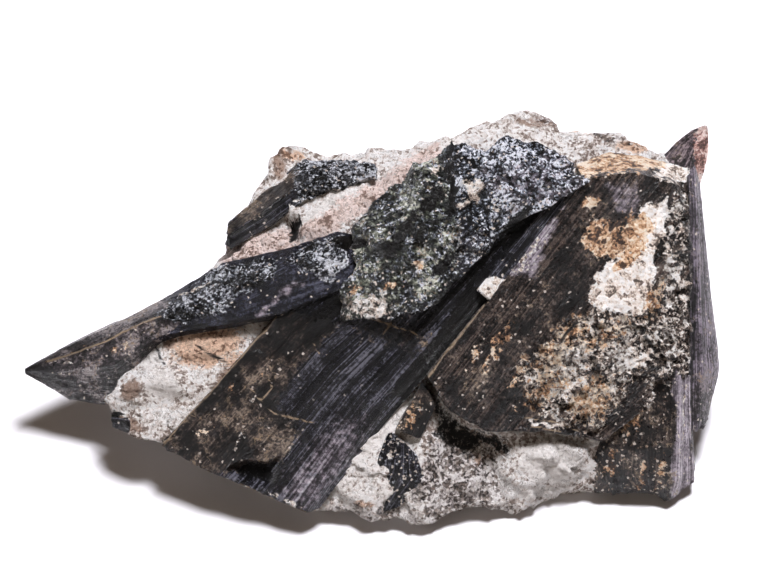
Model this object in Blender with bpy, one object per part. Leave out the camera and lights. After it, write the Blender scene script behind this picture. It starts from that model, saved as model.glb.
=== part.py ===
"""Aegirine on feldspar: dark striated prisms grown together over one pale, lumpy piece of matrix.

The broad display side leans back and faces up and forward. Corner points on it are read as picture
positions plus the distance that they stand out from a leaning display plane, and hidden corners are
set back from them. The foot of the matrix is flat, so the specimen rests on it.
"""

import math

import bmesh
import bpy
import numpy as np
from mathutils import Vector

# Driving dimensions, in metres and radians
LENGTH = 0.120  # from the sharp left tip to the right edge
LEAN = math.radians(50)  # how far above level the display side faces
GAP = 0.0003  # clearance between a crystal and its neighbours
CREST_ROOM = 0.0013  # clearance around the corners of the crest, which its lumps stand out from
STRIA_STEP = 0.00022  # height of a coarse growth ridge
STRIA_SHARES = (0.5, 1.2)  # lowest and highest share of that height
STRIA_SHIFT = 0.3  # how far a ridge strays from even spacing, as a share of it
MATRIX_EDGE = 0.0036  # longest edge on the matrix
CREST_EDGE = 0.0030  # longest edge on the granular crest

# The picture plane in which the corner points are read
PICTURE_LEFT = 23
PICTURE_RIGHT = 721.5
PICTURE_BOTTOM = 520
STEP = LENGTH / (PICTURE_RIGHT - PICTURE_LEFT)
MIDDLE_X = (PICTURE_LEFT + PICTURE_RIGHT) / 2
SET_BACK = -0.033427  # moves the whole specimen so that its box is centred over the origin
MM = 0.001

# Surfaces: linear RGB colour and roughness
BLACK_CRYSTAL = ((0.018, 0.019, 0.024), 0.35)
BLUE_CRYSTAL = ((0.026, 0.030, 0.042), 0.35)
BROWN_CRYSTAL = ((0.050, 0.036, 0.024), 0.5)
GRANULAR_CRYSTAL = ((0.040, 0.044, 0.044), 0.42)
RUSTY_CRYSTAL = ((0.085, 0.052, 0.026), 0.6)
PURPLE_CRYSTAL = ((0.060, 0.048, 0.048), 0.45)
PALE_MATRIX = ((0.56, 0.49, 0.43), 0.6)


def seen(x, y, out):
    """Corner seen at picture place x, y, standing out mm from the leaning display plane."""
    across = (x - MIDDLE_X) * STEP
    up = (PICTURE_BOTTOM - y) * STEP
    out = out * MM
    depth = up * math.sin(LEAN) - out * math.cos(LEAN)
    height = up * math.cos(LEAN) + out * math.sin(LEAN)
    return np.array((across, depth + SET_BACK, height))


def station(corners, *hidden):
    """Cross-section of a crystal: seen corners, then hidden ones as (which corner, back, drop) in mm."""
    ring = [seen(*corner) for corner in corners]
    for which, back, drop in hidden:
        ring.append(ring[which] + np.array((0, back, -drop)) * MM)
    return np.array(ring)


# Crystals, each as cross-sections from foot to head
MAIN = [
    station(
        [(162, 445, 2.2), (200, 467, 3.7), (250, 487, 4.6), (306, 511, 4.9), (320, 508, 4.0)],
        (4, 9, 2.6), (0, 10, 4.5),
    ),
    station(
        [(277, 318, 1.6), (308, 345, 3.9), (340, 378, 4.8), (372, 412, 4.7), (381, 429, 3.4)],
        (4, 10, 6), (0, 8, 8),
    ),
    station(
        [(470, 172, -2.0), (500, 190, 0.4), (530, 197, 1.4), (566, 190, 1.5), (581, 191, 0.5)],
        (4, 8, 9), (0, 6, 9),
    ),
]
# The rod stands on the right edge of the main crystal, and the pit is broken out of its foot
ROD = [
    station([(472, 287, 2.0), (482, 295, 4.2), (492, 303, 4.3), (497, 300, 2.8)], (3, 2, 3), (0, 2, 3)),
    station([(553, 192, 1.0), (560, 196, 3.2), (566, 199, 3.3), (569, 200, 2.2)], (3, 2, 3), (0, 2, 3)),
]
ROD_RIDGES = (1, 2, 1)
PIT = [
    (228, 466, 6.5), (243, 462, 7.0), (268, 464, 7.5), (279, 458, 7.5), (272, 484, 8.0), (250, 484, 7.5),
    (236, 468, 2.9), (246, 465, 2.7), (266, 467, 2.8), (273, 464, 3.2), (266, 480, 3.9), (250, 479, 3.7),
]
LEFT = [
    station(
        [(23, 370, -6.0), (24, 371, -5.6), (24.5, 373, -5.7), (24, 374.5, -6.1)],
        (3, 0.4, 0.1), (0, 0.5, 0.3),
    ),
    station([(75, 342, -5.5), (80, 352, -3.6), (68, 371, -3.8), (68, 400, -6.4)], (3, 3, -0.5), (0, 3, 3)),
    station(
        [(112, 325, -5.6), (112, 336, -2.4), (113, 366, -1.2), (112, 407, -4.6)],
        (3, 5, -1), (0, 4, 4),
    ),
    station([(165, 297, -6.2), (160, 316, -0.8), (161, 335, 0.8), (163, 352, -3.0)], (3, 6, 1), (0, 3, 6)),
    station([(222, 263, -4.4), (221, 309, 2.2), (229, 329, 1.8), (232, 336, -2.0)], (3, 5, 4), (0, 3, 8)),
    station([(285, 249, -2.6), (289, 270, 3.2), (281, 317, 2.5), (288, 322, -1.5)], (3, 5, 5), (0, 3, 8)),
    station([(338, 232, -0.8), (341, 262, 3.3), (345, 287, 2.4), (347, 290, -1.0)], (3, 3, 5), (0, 2, 6)),
    station(
        [(362, 236, 0.0), (364, 246, 1.6), (362, 262, 1.2), (361, 266, -0.6)],
        (3, 1.5, 3), (0, 1.5, 4),
    ),
]
UPPER_LEFT = [
    station([(227, 223, -9.4), (226, 234, -8.2), (229, 249, -9.4)], (2, 3, 3), (0, 4, 4)),
    station([(262, 192, -10.2), (261, 212, -7.0), (264, 229, -8.2)], (2, 4, 5), (0, 4, 6)),
    station([(303, 158, -11.0), (304, 179, -6.4), (302, 202, -6.6)], (2, 4, 6), (0, 3, 7)),
    station([(340, 158, -10.4), (345, 173, -6.2), (345, 188, -6.2)], (2, 3, 6), (0, 3, 6)),
    station([(374, 163, -8.8), (378, 168, -7.2), (377, 174, -7.2)], (2, 2, 4), (0, 2, 4)),
]
RIGHT = [
    station(
        [(427, 378, 4.6), (450, 410, 5.4), (487, 431, 5.3), (541, 430, 4.9), (601, 441, 3.4)],
        (4, 7, 2.5), (0, 8, 5),
    ),
    station(
        [(484, 305, 4.5), (507, 336, 5.8), (544, 357, 5.7), (600, 356, 5.0), (689, 373, 0.4)],
        (4, 6, 6), (0, 8, 8),
    ),
    station(
        [(582, 178, 2.8), (633, 173, 2.4), (678, 185, 0.2), (690, 238, 0.0), (690, 320, 0.3)],
        (4, 6, 8), (0, 6, 9),
    ),
    station(
        [(577, 164, -3.6), (612, 151, -8.8), (666, 160, -9.0), (692, 168, -7.6), (692, 250, -6.0)],
        (4, 3, 7), (0, 3, 6),
    ),
]
CORNER = [
    station([(622, 395, 0.6), (650, 385, 1.2), (676, 368, 1.0), (690, 375, -0.8)], (3, 5, 5), (0, 5, 5)),
    station([(597, 449, 1.4), (640, 450, 2.6), (675, 440, 2.4), (692, 432, -0.8)], (3, 6, 3.5), (0, 6, 4)),
    station([(591, 476, 0.6), (640, 478, 1.3), (674, 480, 1.3), (695, 470, -1.4)], (3, 6, 2.4), (0, 7, 3)),
    station(
        [(595, 494, -0.6), (648, 492, -0.3), (669, 500, -0.4), (695, 483, -2.0)],
        (3, 5, 1.4), (0, 6, 1.2),
    ),
]
REAR_RIGHT = [
    station([(689, 174, -5.2), (697, 165, -7.6), (702.5, 182, -8.6)], (2, 2, 6), (0, 4, 8)),
    station([(690, 200, -3.0), (699, 200, -4.6), (704, 200, -7.6)], (2, 3, 6), (0, 5, 8)),
    station([(690, 285, -1.6), (701, 285, -2.6), (712, 283, -6.6)], (2, 3, 5), (0, 6, 6)),
    station([(690, 372, -1.2), (704, 374, -2.0), (721.5, 368, -6.0)], (2, 3, 4), (0, 6, 5)),
    station([(692, 431, -1.8), (699, 430, -2.4), (710, 414, -5.6)], (2, 2, 3), (0, 4, 3)),
]
SPIKE = [
    station([(662, 158, -15.2), (690, 172, -11.8), (704, 181, -13.2)], (2, 4, 8), (0, 3, 8)),
    station([(681, 140, -15.0), (697, 151, -12.8), (712, 153, -14.4)], (2, 3, 3), (0, 2, 3)),
    station([(696, 128.5, -15.4), (705, 133, -14.0), (712.5, 137, -14.8)], (2, 1.5, 1), (0, 1, 1)),
    station([(709, 124, -15.4), (710.5, 123.5, -15.1), (712, 125, -15.2)], (2, 0.4, 0.1), (0, 0.4, 0.2)),
]
SMALL_BLOCK = [
    station([(396, 428, 4.4), (408, 433, 4.8), (420, 438, 4.2)], (2, 3, 3), (0, 3, 3)),
    station([(421, 385, 3.2), (429, 392, 3.6), (436, 405, 3.0)], (2, 3, 3), (0, 3, 3)),
]
BURIED = [
    station([(372, 489, 3.9), (384, 511, 3.6), (399, 506, 3.8)], (2, 3, 1.4), (0, 3, 2.2)),
    station([(379, 454, 4.3), (402, 478, 5.0), (427, 482, 4.2)], (2, 3, 3), (0, 3, 3)),
    station([(388, 433, 4.0), (403, 440, 4.5), (417, 458, 4.2)], (2, 3, 3), (0, 3, 3)),
]
SPLINTER = [
    station([(111, 421, -1.0), (113, 424, -0.6), (112, 427, -1.2)], (2, 2, 0.4), (0, 2, 0.4)),
    station([(127, 424, 0.8), (130, 429, 1.1), (128, 433, 0.4)], (2, 3, 0.6), (0, 3, 0.6)),
]

# The granular crest: rim, face and hidden underside
CREST_RIM = [
    (345, 290, 3.8), (341, 318, 3.6), (364, 322, 5.2), (388, 320, 6.2), (414, 309, 6.6), (440, 299, 6.6),
    (456, 280, 6.0), (472, 260, 5.4), (490, 240, 5.2), (507, 230, 5.2), (524, 214, 5.0), (540, 206, 4.9),
    (558, 203, 4.8), (583, 184, 3.2), (575, 166, 0.0), (547, 149, -1.2), (525, 141, -0.4), (506, 134, 0.6),
    (491, 144, 1.2), (476, 153, 1.4), (460, 143, 0.6), (441, 151, -0.6), (427, 159, -1.2), (405, 172, -1.2),
    (385, 189, -1.2), (368, 212, -0.8), (344, 229, 0.4), (352, 258, 2.6),
]
CREST_FACE = [
    (395, 228, 4.4), (425, 190, 3.8), (452, 182, 2.4), (452, 214, 3.8), (478, 190, 5.0), (505, 165, 4.0),
    (530, 172, 4.6), (520, 200, 6.0), (552, 184, 4.8), (400, 280, 6.2), (440, 245, 6.4), (380, 252, 4.6),
    (470, 228, 6.2), (370, 300, 5.0), (428, 268, 6.8),
]
CREST_HIDDEN = [
    (356, 290, -4), (400, 270, -4), (445, 230, -5), (500, 200, -5), (560, 180, -5), (530, 158, -9),
    (480, 160, -9), (420, 180, -8), (380, 215, -7),
]
CREST_CENTRE = (455, 225, 0)

# The matrix: lower left patch, lower middle, under the crystals, right side, rear top and pink strip
MATRIX_SEEN = [
    (126, 371, -2.4), (146, 347, -2.2), (187, 331, -0.8), (230, 331, -0.4), (276, 321, -1.0),
    (236, 361, 0.4), (203, 397, 0.9),
    (176, 380, 1.6), (160, 362, 0.4), (142, 385, 0.5), (113, 398, -1.8), (111, 413, -1.2),
    (130, 432, 0.0), (152, 441, 0.8), (170, 438, 1.0), (190, 458, 0.8), (206, 350, 0.9),
    (422, 384, 0.6), (400, 405, 2.0), (378, 436, 3.0), (341, 480, 3.2), (322, 507, 2.2), (345, 509, 2.8),
    (375, 516, 2.9), (403, 518, 3.2), (437, 520, 3.4), (458, 513, 2.9), (481, 506, 2.5), (504, 500, 1.4),
    (513, 508, -0.3), (530, 502, 0.0), (546, 496, 0.2), (562, 489, 0.4), (578, 486, 0.4), (592, 490, -0.4),
    (520, 448, 3.2), (548, 458, 4.4), (576, 452, 3.2), (540, 480, 2.8), (570, 473, 2.6), (505, 478, 2.6),
    (488, 449, 0.6), (452, 428, 0.4), (440, 408, 0.8), (432, 455, 3.8), (470, 482, 3.9), (402, 485, 3.6),
    (360, 492, 3.8), (440, 500, 3.9), (545, 432, 2.0), (592, 446, 1.2), (588, 470, 0.6),
    (250, 470, 0.6), (310, 500, 0.8), (300, 400, -1.0), (350, 350, -1.5), (420, 290, -2.0),
    (500, 240, -4.0), (500, 350, 0.0), (560, 300, -1.0), (620, 350, -1.5), (650, 250, -5.0),
    (600, 200, -4.0), (640, 430, -2.5), (550, 185, -7.0),
    (700, 300, -9.5), (706, 370, -9.5), (700, 430, -6.5), (688, 478, -4.6), (640, 480, -3.0),
    (696, 220, -11.0), (640, 148, -13.0),
    (668, 153, -14.0), (690, 176, -14.5), (599, 133, -15.0), (562, 120, -17.0),
    (549, 114, -18.0), (532, 113, -18.0), (516, 114, -17.5), (499, 122, -14.0), (474, 133, -9.5),
    (458, 140, -6.5), (440, 146, -5.5), (408, 156, -6.0), (382, 163, -8.5), (358, 156, -12.0),
    (332, 150, -13.5), (315, 148, -13.5), (292, 144, -13.0), (277, 140, -13.0), (271, 152, -12.0),
    (267, 162, -12.0), (272, 176, -11.0), (265, 190, -11.0), (290, 168, -11.5), (610, 148, -12.0),
    (560, 132, -14.0), (520, 128, -14.0), (590, 146, -11.0),
    (228, 252, -8.6), (208, 267, -8.8), (250, 246, -6.8), (270, 236, -6.2), (293, 231, -8.2),
    (300, 216, -5.6), (320, 225, -4.4), (340, 205, -4.6), (365, 190, -4.0), (395, 168, -4.5),
    (428, 153, -3.8), (300, 250, -5.0),
]
# Hidden corners of the matrix in mm: across, depth from the front and height
MATRIX_HIDDEN = [
    (-40, 12, 8), (-43, 19, 9), (-40, 29, 11), (-34, 37, 13), (-29, 43, 14.5), (-18, 59, 18), (0, 65, 16),
    (24, 71, 15), (42, 67, 13), (54, 58, 12), (58, 42, 8), (57, 26, 5), (-31, 28, 6), (-24, 46, 8),
    (0, 65, 6), (28, 68, 5), (48, 60, 5), (-20, 6, 3), (-28, 12, 5),
    (-14, 8, -1.5), (-20, 22, -1.5), (-16, 40, -1.5), (0, 58, -1.5), (30, 62, -1.5), (48, 50, -1.5),
    (52, 28, -1.5), (48, 10, -1.5), (24, 4, -1.5), (5, 4, -1.5), (16, 30, -1.5),
]
MATRIX_CENTRE = (12, 30, 11)

# Layers of lumps, as (width, height) in metres
MATRIX_LUMPS = ((0.0085, 0.0017), (0.0042, 0.0011), (0.0021, 0.0005))
CREST_LUMPS = ((0.0046, 0.0010), (0.0024, 0.0008))


def new_collection(name):
    collection = bpy.data.collections.new(name)
    bpy.context.scene.collection.children.link(collection)
    return collection


def as_object(name, shape, collection, material=None):
    """Closes up the bmesh, turns its faces outward and puts it in the scene."""
    bmesh.ops.triangulate(shape, faces=shape.faces)
    bmesh.ops.recalc_face_normals(shape, faces=shape.faces)
    mesh = bpy.data.meshes.new(name)
    shape.to_mesh(mesh)
    shape.free()
    if material:
        mesh.materials.append(material)
    placed = bpy.data.objects.new(name, mesh)
    collection.objects.link(placed)
    return placed


def stone(name, surface):
    colour, roughness = surface
    material = bpy.data.materials.new(name)
    material.use_nodes = True
    shader = material.node_tree.nodes["Principled BSDF"]
    shader.inputs["Base Color"].default_value = (*colour, 1)
    shader.inputs["Roughness"].default_value = roughness
    shader.inputs["Metallic"].default_value = 0
    return material


def striated(stations, ridges, seed):
    """Splits each side of every cross-section into ridges of uneven width that stand out by STRIA_STEP."""
    rng = np.random.default_rng(seed)
    rings = np.array(stations)
    count = rings.shape[1]
    axis = rings[-1].mean(axis=0) - rings[0].mean(axis=0)
    columns = []
    for side in range(count):
        start, end = rings[:, side], rings[:, (side + 1) % count]
        columns.append(start)
        parts = ridges[side] if side < len(ridges) else 1
        if parts < 2:
            continue
        outward = np.cross(end - start, axis)
        outward /= np.linalg.norm(outward, axis=1, keepdims=True)
        middle = (start + end) / 2 - rings.mean(axis=1)
        outward *= np.sign((outward * middle).sum(axis=1, keepdims=True))
        places = (np.arange(1, parts) + rng.uniform(-STRIA_SHIFT, STRIA_SHIFT, parts - 1)) / parts
        for number, place in enumerate(places):
            lift = STRIA_STEP * (1 if number % 2 else -1) * rng.uniform(*STRIA_SHARES)
            columns.append(start + (end - start) * place + outward * lift)
    return np.stack(columns, axis=1)


def loft(rings):
    """Joins the cross-sections side by side and closes each end with a low, broken cone."""
    shape = bmesh.new()
    rows = [[shape.verts.new(point) for point in ring] for ring in rings]
    for lower, upper in zip(rows, rows[1:]):
        for here in range(len(lower)):
            after = (here + 1) % len(lower)
            shape.faces.new((lower[here], lower[after], upper[after], upper[here]))
    for end in (rows[0], rows[-1]):
        middle = shape.verts.new(sum((corner.co for corner in end), Vector()) / len(end))
        for here in range(len(end)):
            shape.faces.new((end[here], end[(here + 1) % len(end)], middle))
    return shape


def grown_hull(name, points, collection):
    """Convex cutter around some corners, larger by GAP on every side."""
    shape = bmesh.new()
    signs = (-1, 1)
    for point in points:
        for corner in ((x, y, z) for x in signs for y in signs for z in signs):
            shape.verts.new(Vector(point) + Vector(corner) * GAP)
    found = bmesh.ops.convex_hull(shape, input=shape.verts)
    inside = {item for item in found["geom_interior"] if isinstance(item, bmesh.types.BMVert)}
    bmesh.ops.delete(shape, geom=list(inside), context="VERTS")
    return cutter(as_object(name, shape, collection))


def cutter(placed):
    """Shows a helper body as wires only."""
    placed.hide_render = True
    placed.display_type = "WIRE"
    return placed


def star(centre, corners, grow=0.0):
    """Closed body through the corners, each of which can be seen from the centre."""
    away = np.array(corners) - centre
    far = np.linalg.norm(away, axis=1, keepdims=True)
    shape = bmesh.new()
    for direction in away / far:
        shape.verts.new(direction)
    bmesh.ops.convex_hull(shape, input=shape.verts)
    for vertex, place in zip(shape.verts, centre + away * (1 + grow / far)):
        vertex.co = place
    return shape


def corner_value(cell, layer):
    """Fixed pseudo-random number from -1 to 1 for each whole-number cell corner."""
    mixed = cell[:, 0] * 73856093 ^ cell[:, 1] * 19349663 ^ cell[:, 2] * 83492791 ^ (layer + 1) * 2654435
    mixed = (mixed ^ (mixed >> 13)) * 1274126177 & 0x7FFFFFFF
    return ((mixed ^ (mixed >> 11)) & 0xFFFF) / 32767.5 - 1


def smooth_noise(places, layer):
    """Value noise: corner values blended with 3t^2 - 2t^3 along each axis."""
    cell = np.floor(places).astype(np.int64)
    part = places - cell
    part = part * part * (3 - 2 * part)
    total = np.zeros(len(places))
    for step in np.ndindex(2, 2, 2):
        share = np.prod(np.where(step, part, 1 - part), axis=1)
        total += share * corner_value(cell + step, layer)
    return total


def lump_height(places, lumps):
    """Sum of the layers of lumps, measured from where the display plane starts."""
    start = np.array((0, SET_BACK, 0))
    return sum(
        high * smooth_noise((places - start) / wide, layer) for layer, (wide, high) in enumerate(lumps)
    )


def roughened(shape, centre, longest, lumps):
    """Splits long edges, then pushes each point away from the centre by the height of the lumps there."""
    while True:
        long_edges = [edge for edge in shape.edges if edge.calc_length() > longest]
        if not long_edges:
            break
        bmesh.ops.subdivide_edges(shape, edges=long_edges, cuts=1)
        bmesh.ops.triangulate(shape, faces=shape.faces)
    places = np.array([vertex.co for vertex in shape.verts])
    away = places - centre
    away /= np.linalg.norm(away, axis=1, keepdims=True)
    moved = places + away * lump_height(places, lumps)[:, None]
    for vertex, place in zip(shape.verts, moved):
        vertex.co = place
    return shape


def flat_foot(shape):
    """Cuts the body off level at the table and closes the cut."""
    everything = shape.verts[:] + shape.edges[:] + shape.faces[:]
    cut = bmesh.ops.bisect_plane(
        shape, geom=everything, plane_co=(0, 0, 0), plane_no=(0, 0, -1), clear_outer=True
    )
    rim = [item for item in cut["geom_cut"] if isinstance(item, bmesh.types.BMEdge)]
    bmesh.ops.holes_fill(shape, edges=rim, sides=0)
    return shape


def cut_by(target, cutters, solver="EXACT"):
    """Takes each cutter out of the target."""
    for placed in cutters:
        modifier = target.modifiers.new(placed.name, "BOOLEAN")
        modifier.operation = "DIFFERENCE"
        modifier.solver = solver
        modifier.object = placed


def fuse(target, addition):
    """Joins another closed shape into the target."""
    modifier = target.modifiers.new(addition.name, "BOOLEAN")
    modifier.operation = "UNION"
    modifier.solver = "EXACT"
    modifier.object = addition


def islands(shape):
    """Groups of vertices joined by edges."""
    waiting = set(shape.verts)
    groups = []
    while waiting:
        group, border = set(), [waiting.pop()]
        while border:
            vertex = border.pop()
            group.add(vertex)
            for edge in vertex.link_edges:
                other = edge.other_vert(vertex)
                if other in waiting:
                    waiting.remove(other)
                    border.append(other)
        groups.append(group)
    return groups


def keep_largest(placed):
    """Makes the cuts final and drops crumbs that they left loose."""
    graph = bpy.context.evaluated_depsgraph_get()
    cut = bpy.data.meshes.new_from_object(placed.evaluated_get(graph))
    shape = bmesh.new()
    shape.from_mesh(cut)
    groups = sorted(islands(shape), key=len)
    for group in groups[:-1]:
        bmesh.ops.delete(shape, geom=list(group), context="VERTS")
    bmesh.ops.dissolve_degenerate(shape, edges=shape.edges, dist=1e-6)
    bmesh.ops.triangulate(shape, faces=shape.faces)
    placed.modifiers.clear()
    shape.to_mesh(placed.data)
    shape.free()
    bpy.data.meshes.remove(cut)


def build():
    for old in list(bpy.data.objects):
        bpy.data.objects.remove(old)
    specimen = new_collection("aegirine_specimen")
    cutters = new_collection("aegirine_cutters")

    black = stone("aegirine_black", BLACK_CRYSTAL)
    blue = stone("aegirine_blue", BLUE_CRYSTAL)
    brown = stone("aegirine_brown", BROWN_CRYSTAL)
    granular = stone("aegirine_granular", GRANULAR_CRYSTAL)
    rusty = stone("aegirine_rusty", RUSTY_CRYSTAL)
    purple = stone("aegirine_purple", PURPLE_CRYSTAL)
    pale = stone("feldspar_matrix", PALE_MATRIX)

    # Each crystal's cross-sections, how many ridges its first sides carry, and its material
    plan = {
        "main_crystal": (MAIN, (6, 7, 8, 2), black),
        "left_crystal": (LEFT, (3, 3, 2), blue),
        "upper_left_crystal": (UPPER_LEFT, (3, 2), granular),
        "right_crystal": (RIGHT, (5, 6, 6, 5), brown),
        "corner_crystal": (CORNER, (6, 5, 4), brown),
        "rear_right_crystal": (REAR_RIGHT, (3, 4), purple),
        "rear_spike": (SPIKE, (2, 2), rusty),
        "small_block": (SMALL_BLOCK, (2, 2), brown),
        "buried_crystal": (BURIED, (3, 3), black),
        "edge_splinter": (SPLINTER, (2, 2), black),
    }
    crystals, hulls = {}, {}
    for seed, (name, (stations, ridges, material)) in enumerate(plan.items()):
        shape = loft(striated(stations, ridges, seed))
        crystals[name] = as_object(name, shape, specimen, material)
        hulls[name] = [
            grown_hull(f"{name}_room_{part}", np.concatenate(pair), cutters)
            for part, pair in enumerate(zip(stations, stations[1:]))
        ]

    rod = cutter(as_object("main_crystal_rod", loft(striated(ROD, ROD_RIDGES, len(plan))), cutters))
    pit = grown_hull("main_crystal_pit", [seen(*corner) for corner in PIT], cutters)
    rod_room = grown_hull("main_crystal_rod_room", np.concatenate(ROD), cutters)
    hulls["main_crystal"].append(rod_room)

    crest_corners = [seen(*corner) for corner in CREST_RIM + CREST_FACE + CREST_HIDDEN]
    crest_middle = seen(*CREST_CENTRE)
    crest = roughened(star(crest_middle, crest_corners), crest_middle, CREST_EDGE, CREST_LUMPS)
    crystals["crest_crystal"] = as_object("crest_crystal", crest, specimen, granular)
    room = star(crest_middle, crest_corners, grow=CREST_ROOM)
    hulls["crest_crystal"] = [cutter(as_object("crest_crystal_room", room, cutters))]

    hidden = [np.array((x * MM, y * MM + SET_BACK, z * MM)) for x, y, z in MATRIX_HIDDEN]
    corners = [seen(*corner) for corner in MATRIX_SEEN] + hidden
    middle = np.array((MATRIX_CENTRE[0] * MM, MATRIX_CENTRE[1] * MM + SET_BACK, MATRIX_CENTRE[2] * MM))
    body = flat_foot(roughened(star(middle, corners), middle, MATRIX_EDGE, MATRIX_LUMPS))
    matrix = as_object("matrix_rock", body, specimen, pale)

    neighbours = {
        "main_crystal": ("right_crystal", "left_crystal"),
        "crest_crystal": ("main_crystal", "right_crystal", "left_crystal", "upper_left_crystal"),
        "corner_crystal": ("right_crystal",),
        "rear_right_crystal": ("right_crystal", "corner_crystal"),
        "rear_spike": ("right_crystal", "rear_right_crystal"),
        "small_block": ("right_crystal", "buried_crystal"),
    }
    cut_by(crystals["right_crystal"], [rod_room])
    keep_largest(crystals["right_crystal"])
    for name, others in neighbours.items():
        cut_by(crystals[name], [placed for other in others for placed in hulls[other]])
        if name == "main_crystal":
            cut_by(crystals[name], [pit])
            fuse(crystals[name], rod)
        keep_largest(crystals[name])
    # The pockets overlap each other at shallow angles, which the exact solver leaves open
    cut_by(matrix, [placed for group in hulls.values() for placed in group], solver="MANIFOLD")
    keep_largest(matrix)


build()
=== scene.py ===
# %% [markdown]
# # Aegirine grown together on feldspar
# The specimen is a wedge of pale rock with dark prisms lying across it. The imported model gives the
# true places and sizes. This lesson lays a finely worked surface over every solid: striated prism
# faces, a granular crest, sugary rock, rust and pale coatings. Everything is in metres, +Z up.

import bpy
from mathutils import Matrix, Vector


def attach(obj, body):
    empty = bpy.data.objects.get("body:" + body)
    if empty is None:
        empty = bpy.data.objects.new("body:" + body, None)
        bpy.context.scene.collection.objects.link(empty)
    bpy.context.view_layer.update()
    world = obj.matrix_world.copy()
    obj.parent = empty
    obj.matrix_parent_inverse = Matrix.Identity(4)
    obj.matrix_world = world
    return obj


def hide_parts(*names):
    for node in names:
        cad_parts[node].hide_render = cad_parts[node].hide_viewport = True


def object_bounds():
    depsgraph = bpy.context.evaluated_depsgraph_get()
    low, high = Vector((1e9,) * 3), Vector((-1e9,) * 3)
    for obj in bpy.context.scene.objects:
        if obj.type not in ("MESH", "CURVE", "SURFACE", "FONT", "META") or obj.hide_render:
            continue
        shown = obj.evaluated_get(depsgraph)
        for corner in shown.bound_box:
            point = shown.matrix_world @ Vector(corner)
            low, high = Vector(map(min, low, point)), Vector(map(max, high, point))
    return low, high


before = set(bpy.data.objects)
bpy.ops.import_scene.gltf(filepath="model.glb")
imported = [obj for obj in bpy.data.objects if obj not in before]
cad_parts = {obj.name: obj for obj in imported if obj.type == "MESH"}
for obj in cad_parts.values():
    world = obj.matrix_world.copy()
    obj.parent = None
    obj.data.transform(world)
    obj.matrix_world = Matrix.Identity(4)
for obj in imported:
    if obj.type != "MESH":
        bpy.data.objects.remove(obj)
cad_low, cad_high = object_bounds()
print("packed model:", [round(1000 * side, 1) for side in cad_high - cad_low], "mm")

# %% [markdown]
# ## The display plane
# The broad side leans back at 50 degrees and faces the viewer. Its corners were read as picture
# places x, y plus the distance that they stand out from a leaning plane, the same way as in the
# solid model. Going back from a point to its picture place lets stains and patches be painted by
# where they show, on whatever surface carries them.

# %% Places on the display side
import math

import bmesh
import bpy
import numpy as np
from mathutils import Vector

MM = 0.001
LENGTH = 0.120
LEAN = math.radians(50)
PICTURE_LEFT, PICTURE_RIGHT, PICTURE_BOTTOM = 23, 721.5, 520
STEP = LENGTH / (PICTURE_RIGHT - PICTURE_LEFT)
MIDDLE_X = (PICTURE_LEFT + PICTURE_RIGHT) / 2
SET_BACK = -0.033427


def seen(x, y, out):
    """Point at picture place x, y that stands out mm from the plane: across, up and out turned by LEAN."""
    across, up, out = (x - MIDDLE_X) * STEP, (PICTURE_BOTTOM - y) * STEP, out * MM
    depth = up * math.sin(LEAN) - out * math.cos(LEAN)
    height = up * math.cos(LEAN) + out * math.sin(LEAN)
    return np.array((across, depth + SET_BACK, height))


def picture_place(points):
    """Inverse of seen without out: x = X / STEP + middle, y = bottom - (Y sin + Z cos) / STEP."""
    up = (points[:, 1] - SET_BACK) * math.sin(LEAN) + points[:, 2] * math.cos(LEAN)
    return np.stack([points[:, 0] / STEP + MIDDLE_X, PICTURE_BOTTOM - up / STEP], axis=1)


print("one picture step is", round(STEP / MM, 3), "mm")

# %% [markdown]
# ## Roughness from numbers
# Broken rock has lumps of many sizes, and a broken crystal shows small flat facets. Both come from a
# fixed pseudo-random number at each corner of an invisible cubic lattice, so every run is the same.
# Blending the corner numbers gives lumps. Giving each lattice cell its own tilted plane gives facets.

# %% Noise in whole arrays
def corner_value(cell, layer):
    """Number from -1 to 1 for each whole-number cell: the cell's bits are mixed and cut to 16 bits."""
    mixed = cell[:, 0] * 73856093 ^ cell[:, 1] * 19349663 ^ cell[:, 2] * 83492791 ^ (layer + 1) * 2654435
    mixed = (mixed ^ (mixed >> 13)) * 1274126177 & 0x7FFFFFFF
    return ((mixed ^ (mixed >> 11)) & 0xFFFF) / 32767.5 - 1


def smooth_noise(places, layer):
    """Value noise: the eight corner values, blended with 3t^2 - 2t^3 along each axis."""
    cell = np.floor(places).astype(np.int64)
    part = places - cell
    part = part * part * (3 - 2 * part)
    total = np.zeros(len(places))
    for step in np.ndindex(2, 2, 2):
        total += np.prod(np.where(step, part, 1 - part), axis=1) * corner_value(cell + step, layer)
    return total


def lump_height(points, lumps):
    """Sum over layers of height * noise(place / width)."""
    start = np.array((0, SET_BACK, 0))
    places = points - start
    return sum(high * smooth_noise(places / wide, layer) for layer, (wide, high) in enumerate(lumps))


def facets(points, width, layer):
    """Height = tilt . (place - nearest seed), one tilted plane for each scattered seed, about -1 to 1."""
    places = points / width
    cell = np.floor(places).astype(np.int64)
    nearest = np.full(len(places), np.inf)
    height = np.zeros(len(places))
    for step in np.ndindex(3, 3, 3):
        corner = cell + step - 1
        jitter = np.stack([corner_value(corner, layer + k) for k in range(3)], axis=1) * 0.5 + 0.5
        offset = places - corner - jitter
        far = (offset**2).sum(axis=1)
        tilt = np.stack([corner_value(corner, layer + 3 + k) for k in range(3)], axis=1)
        closer = far < nearest
        nearest = np.where(closer, far, nearest)
        height = np.where(closer, (offset * tilt).sum(axis=1), height)
    return height


probe = np.stack([np.linspace(0, 20, 500)] * 3, axis=1)
for kind, heights in (("lumps", smooth_noise(probe, 0)), ("facets", facets(probe, 1, 0))):
    print(kind, "run from", round(heights.min(), 2), "to", round(heights.max(), 2))


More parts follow.
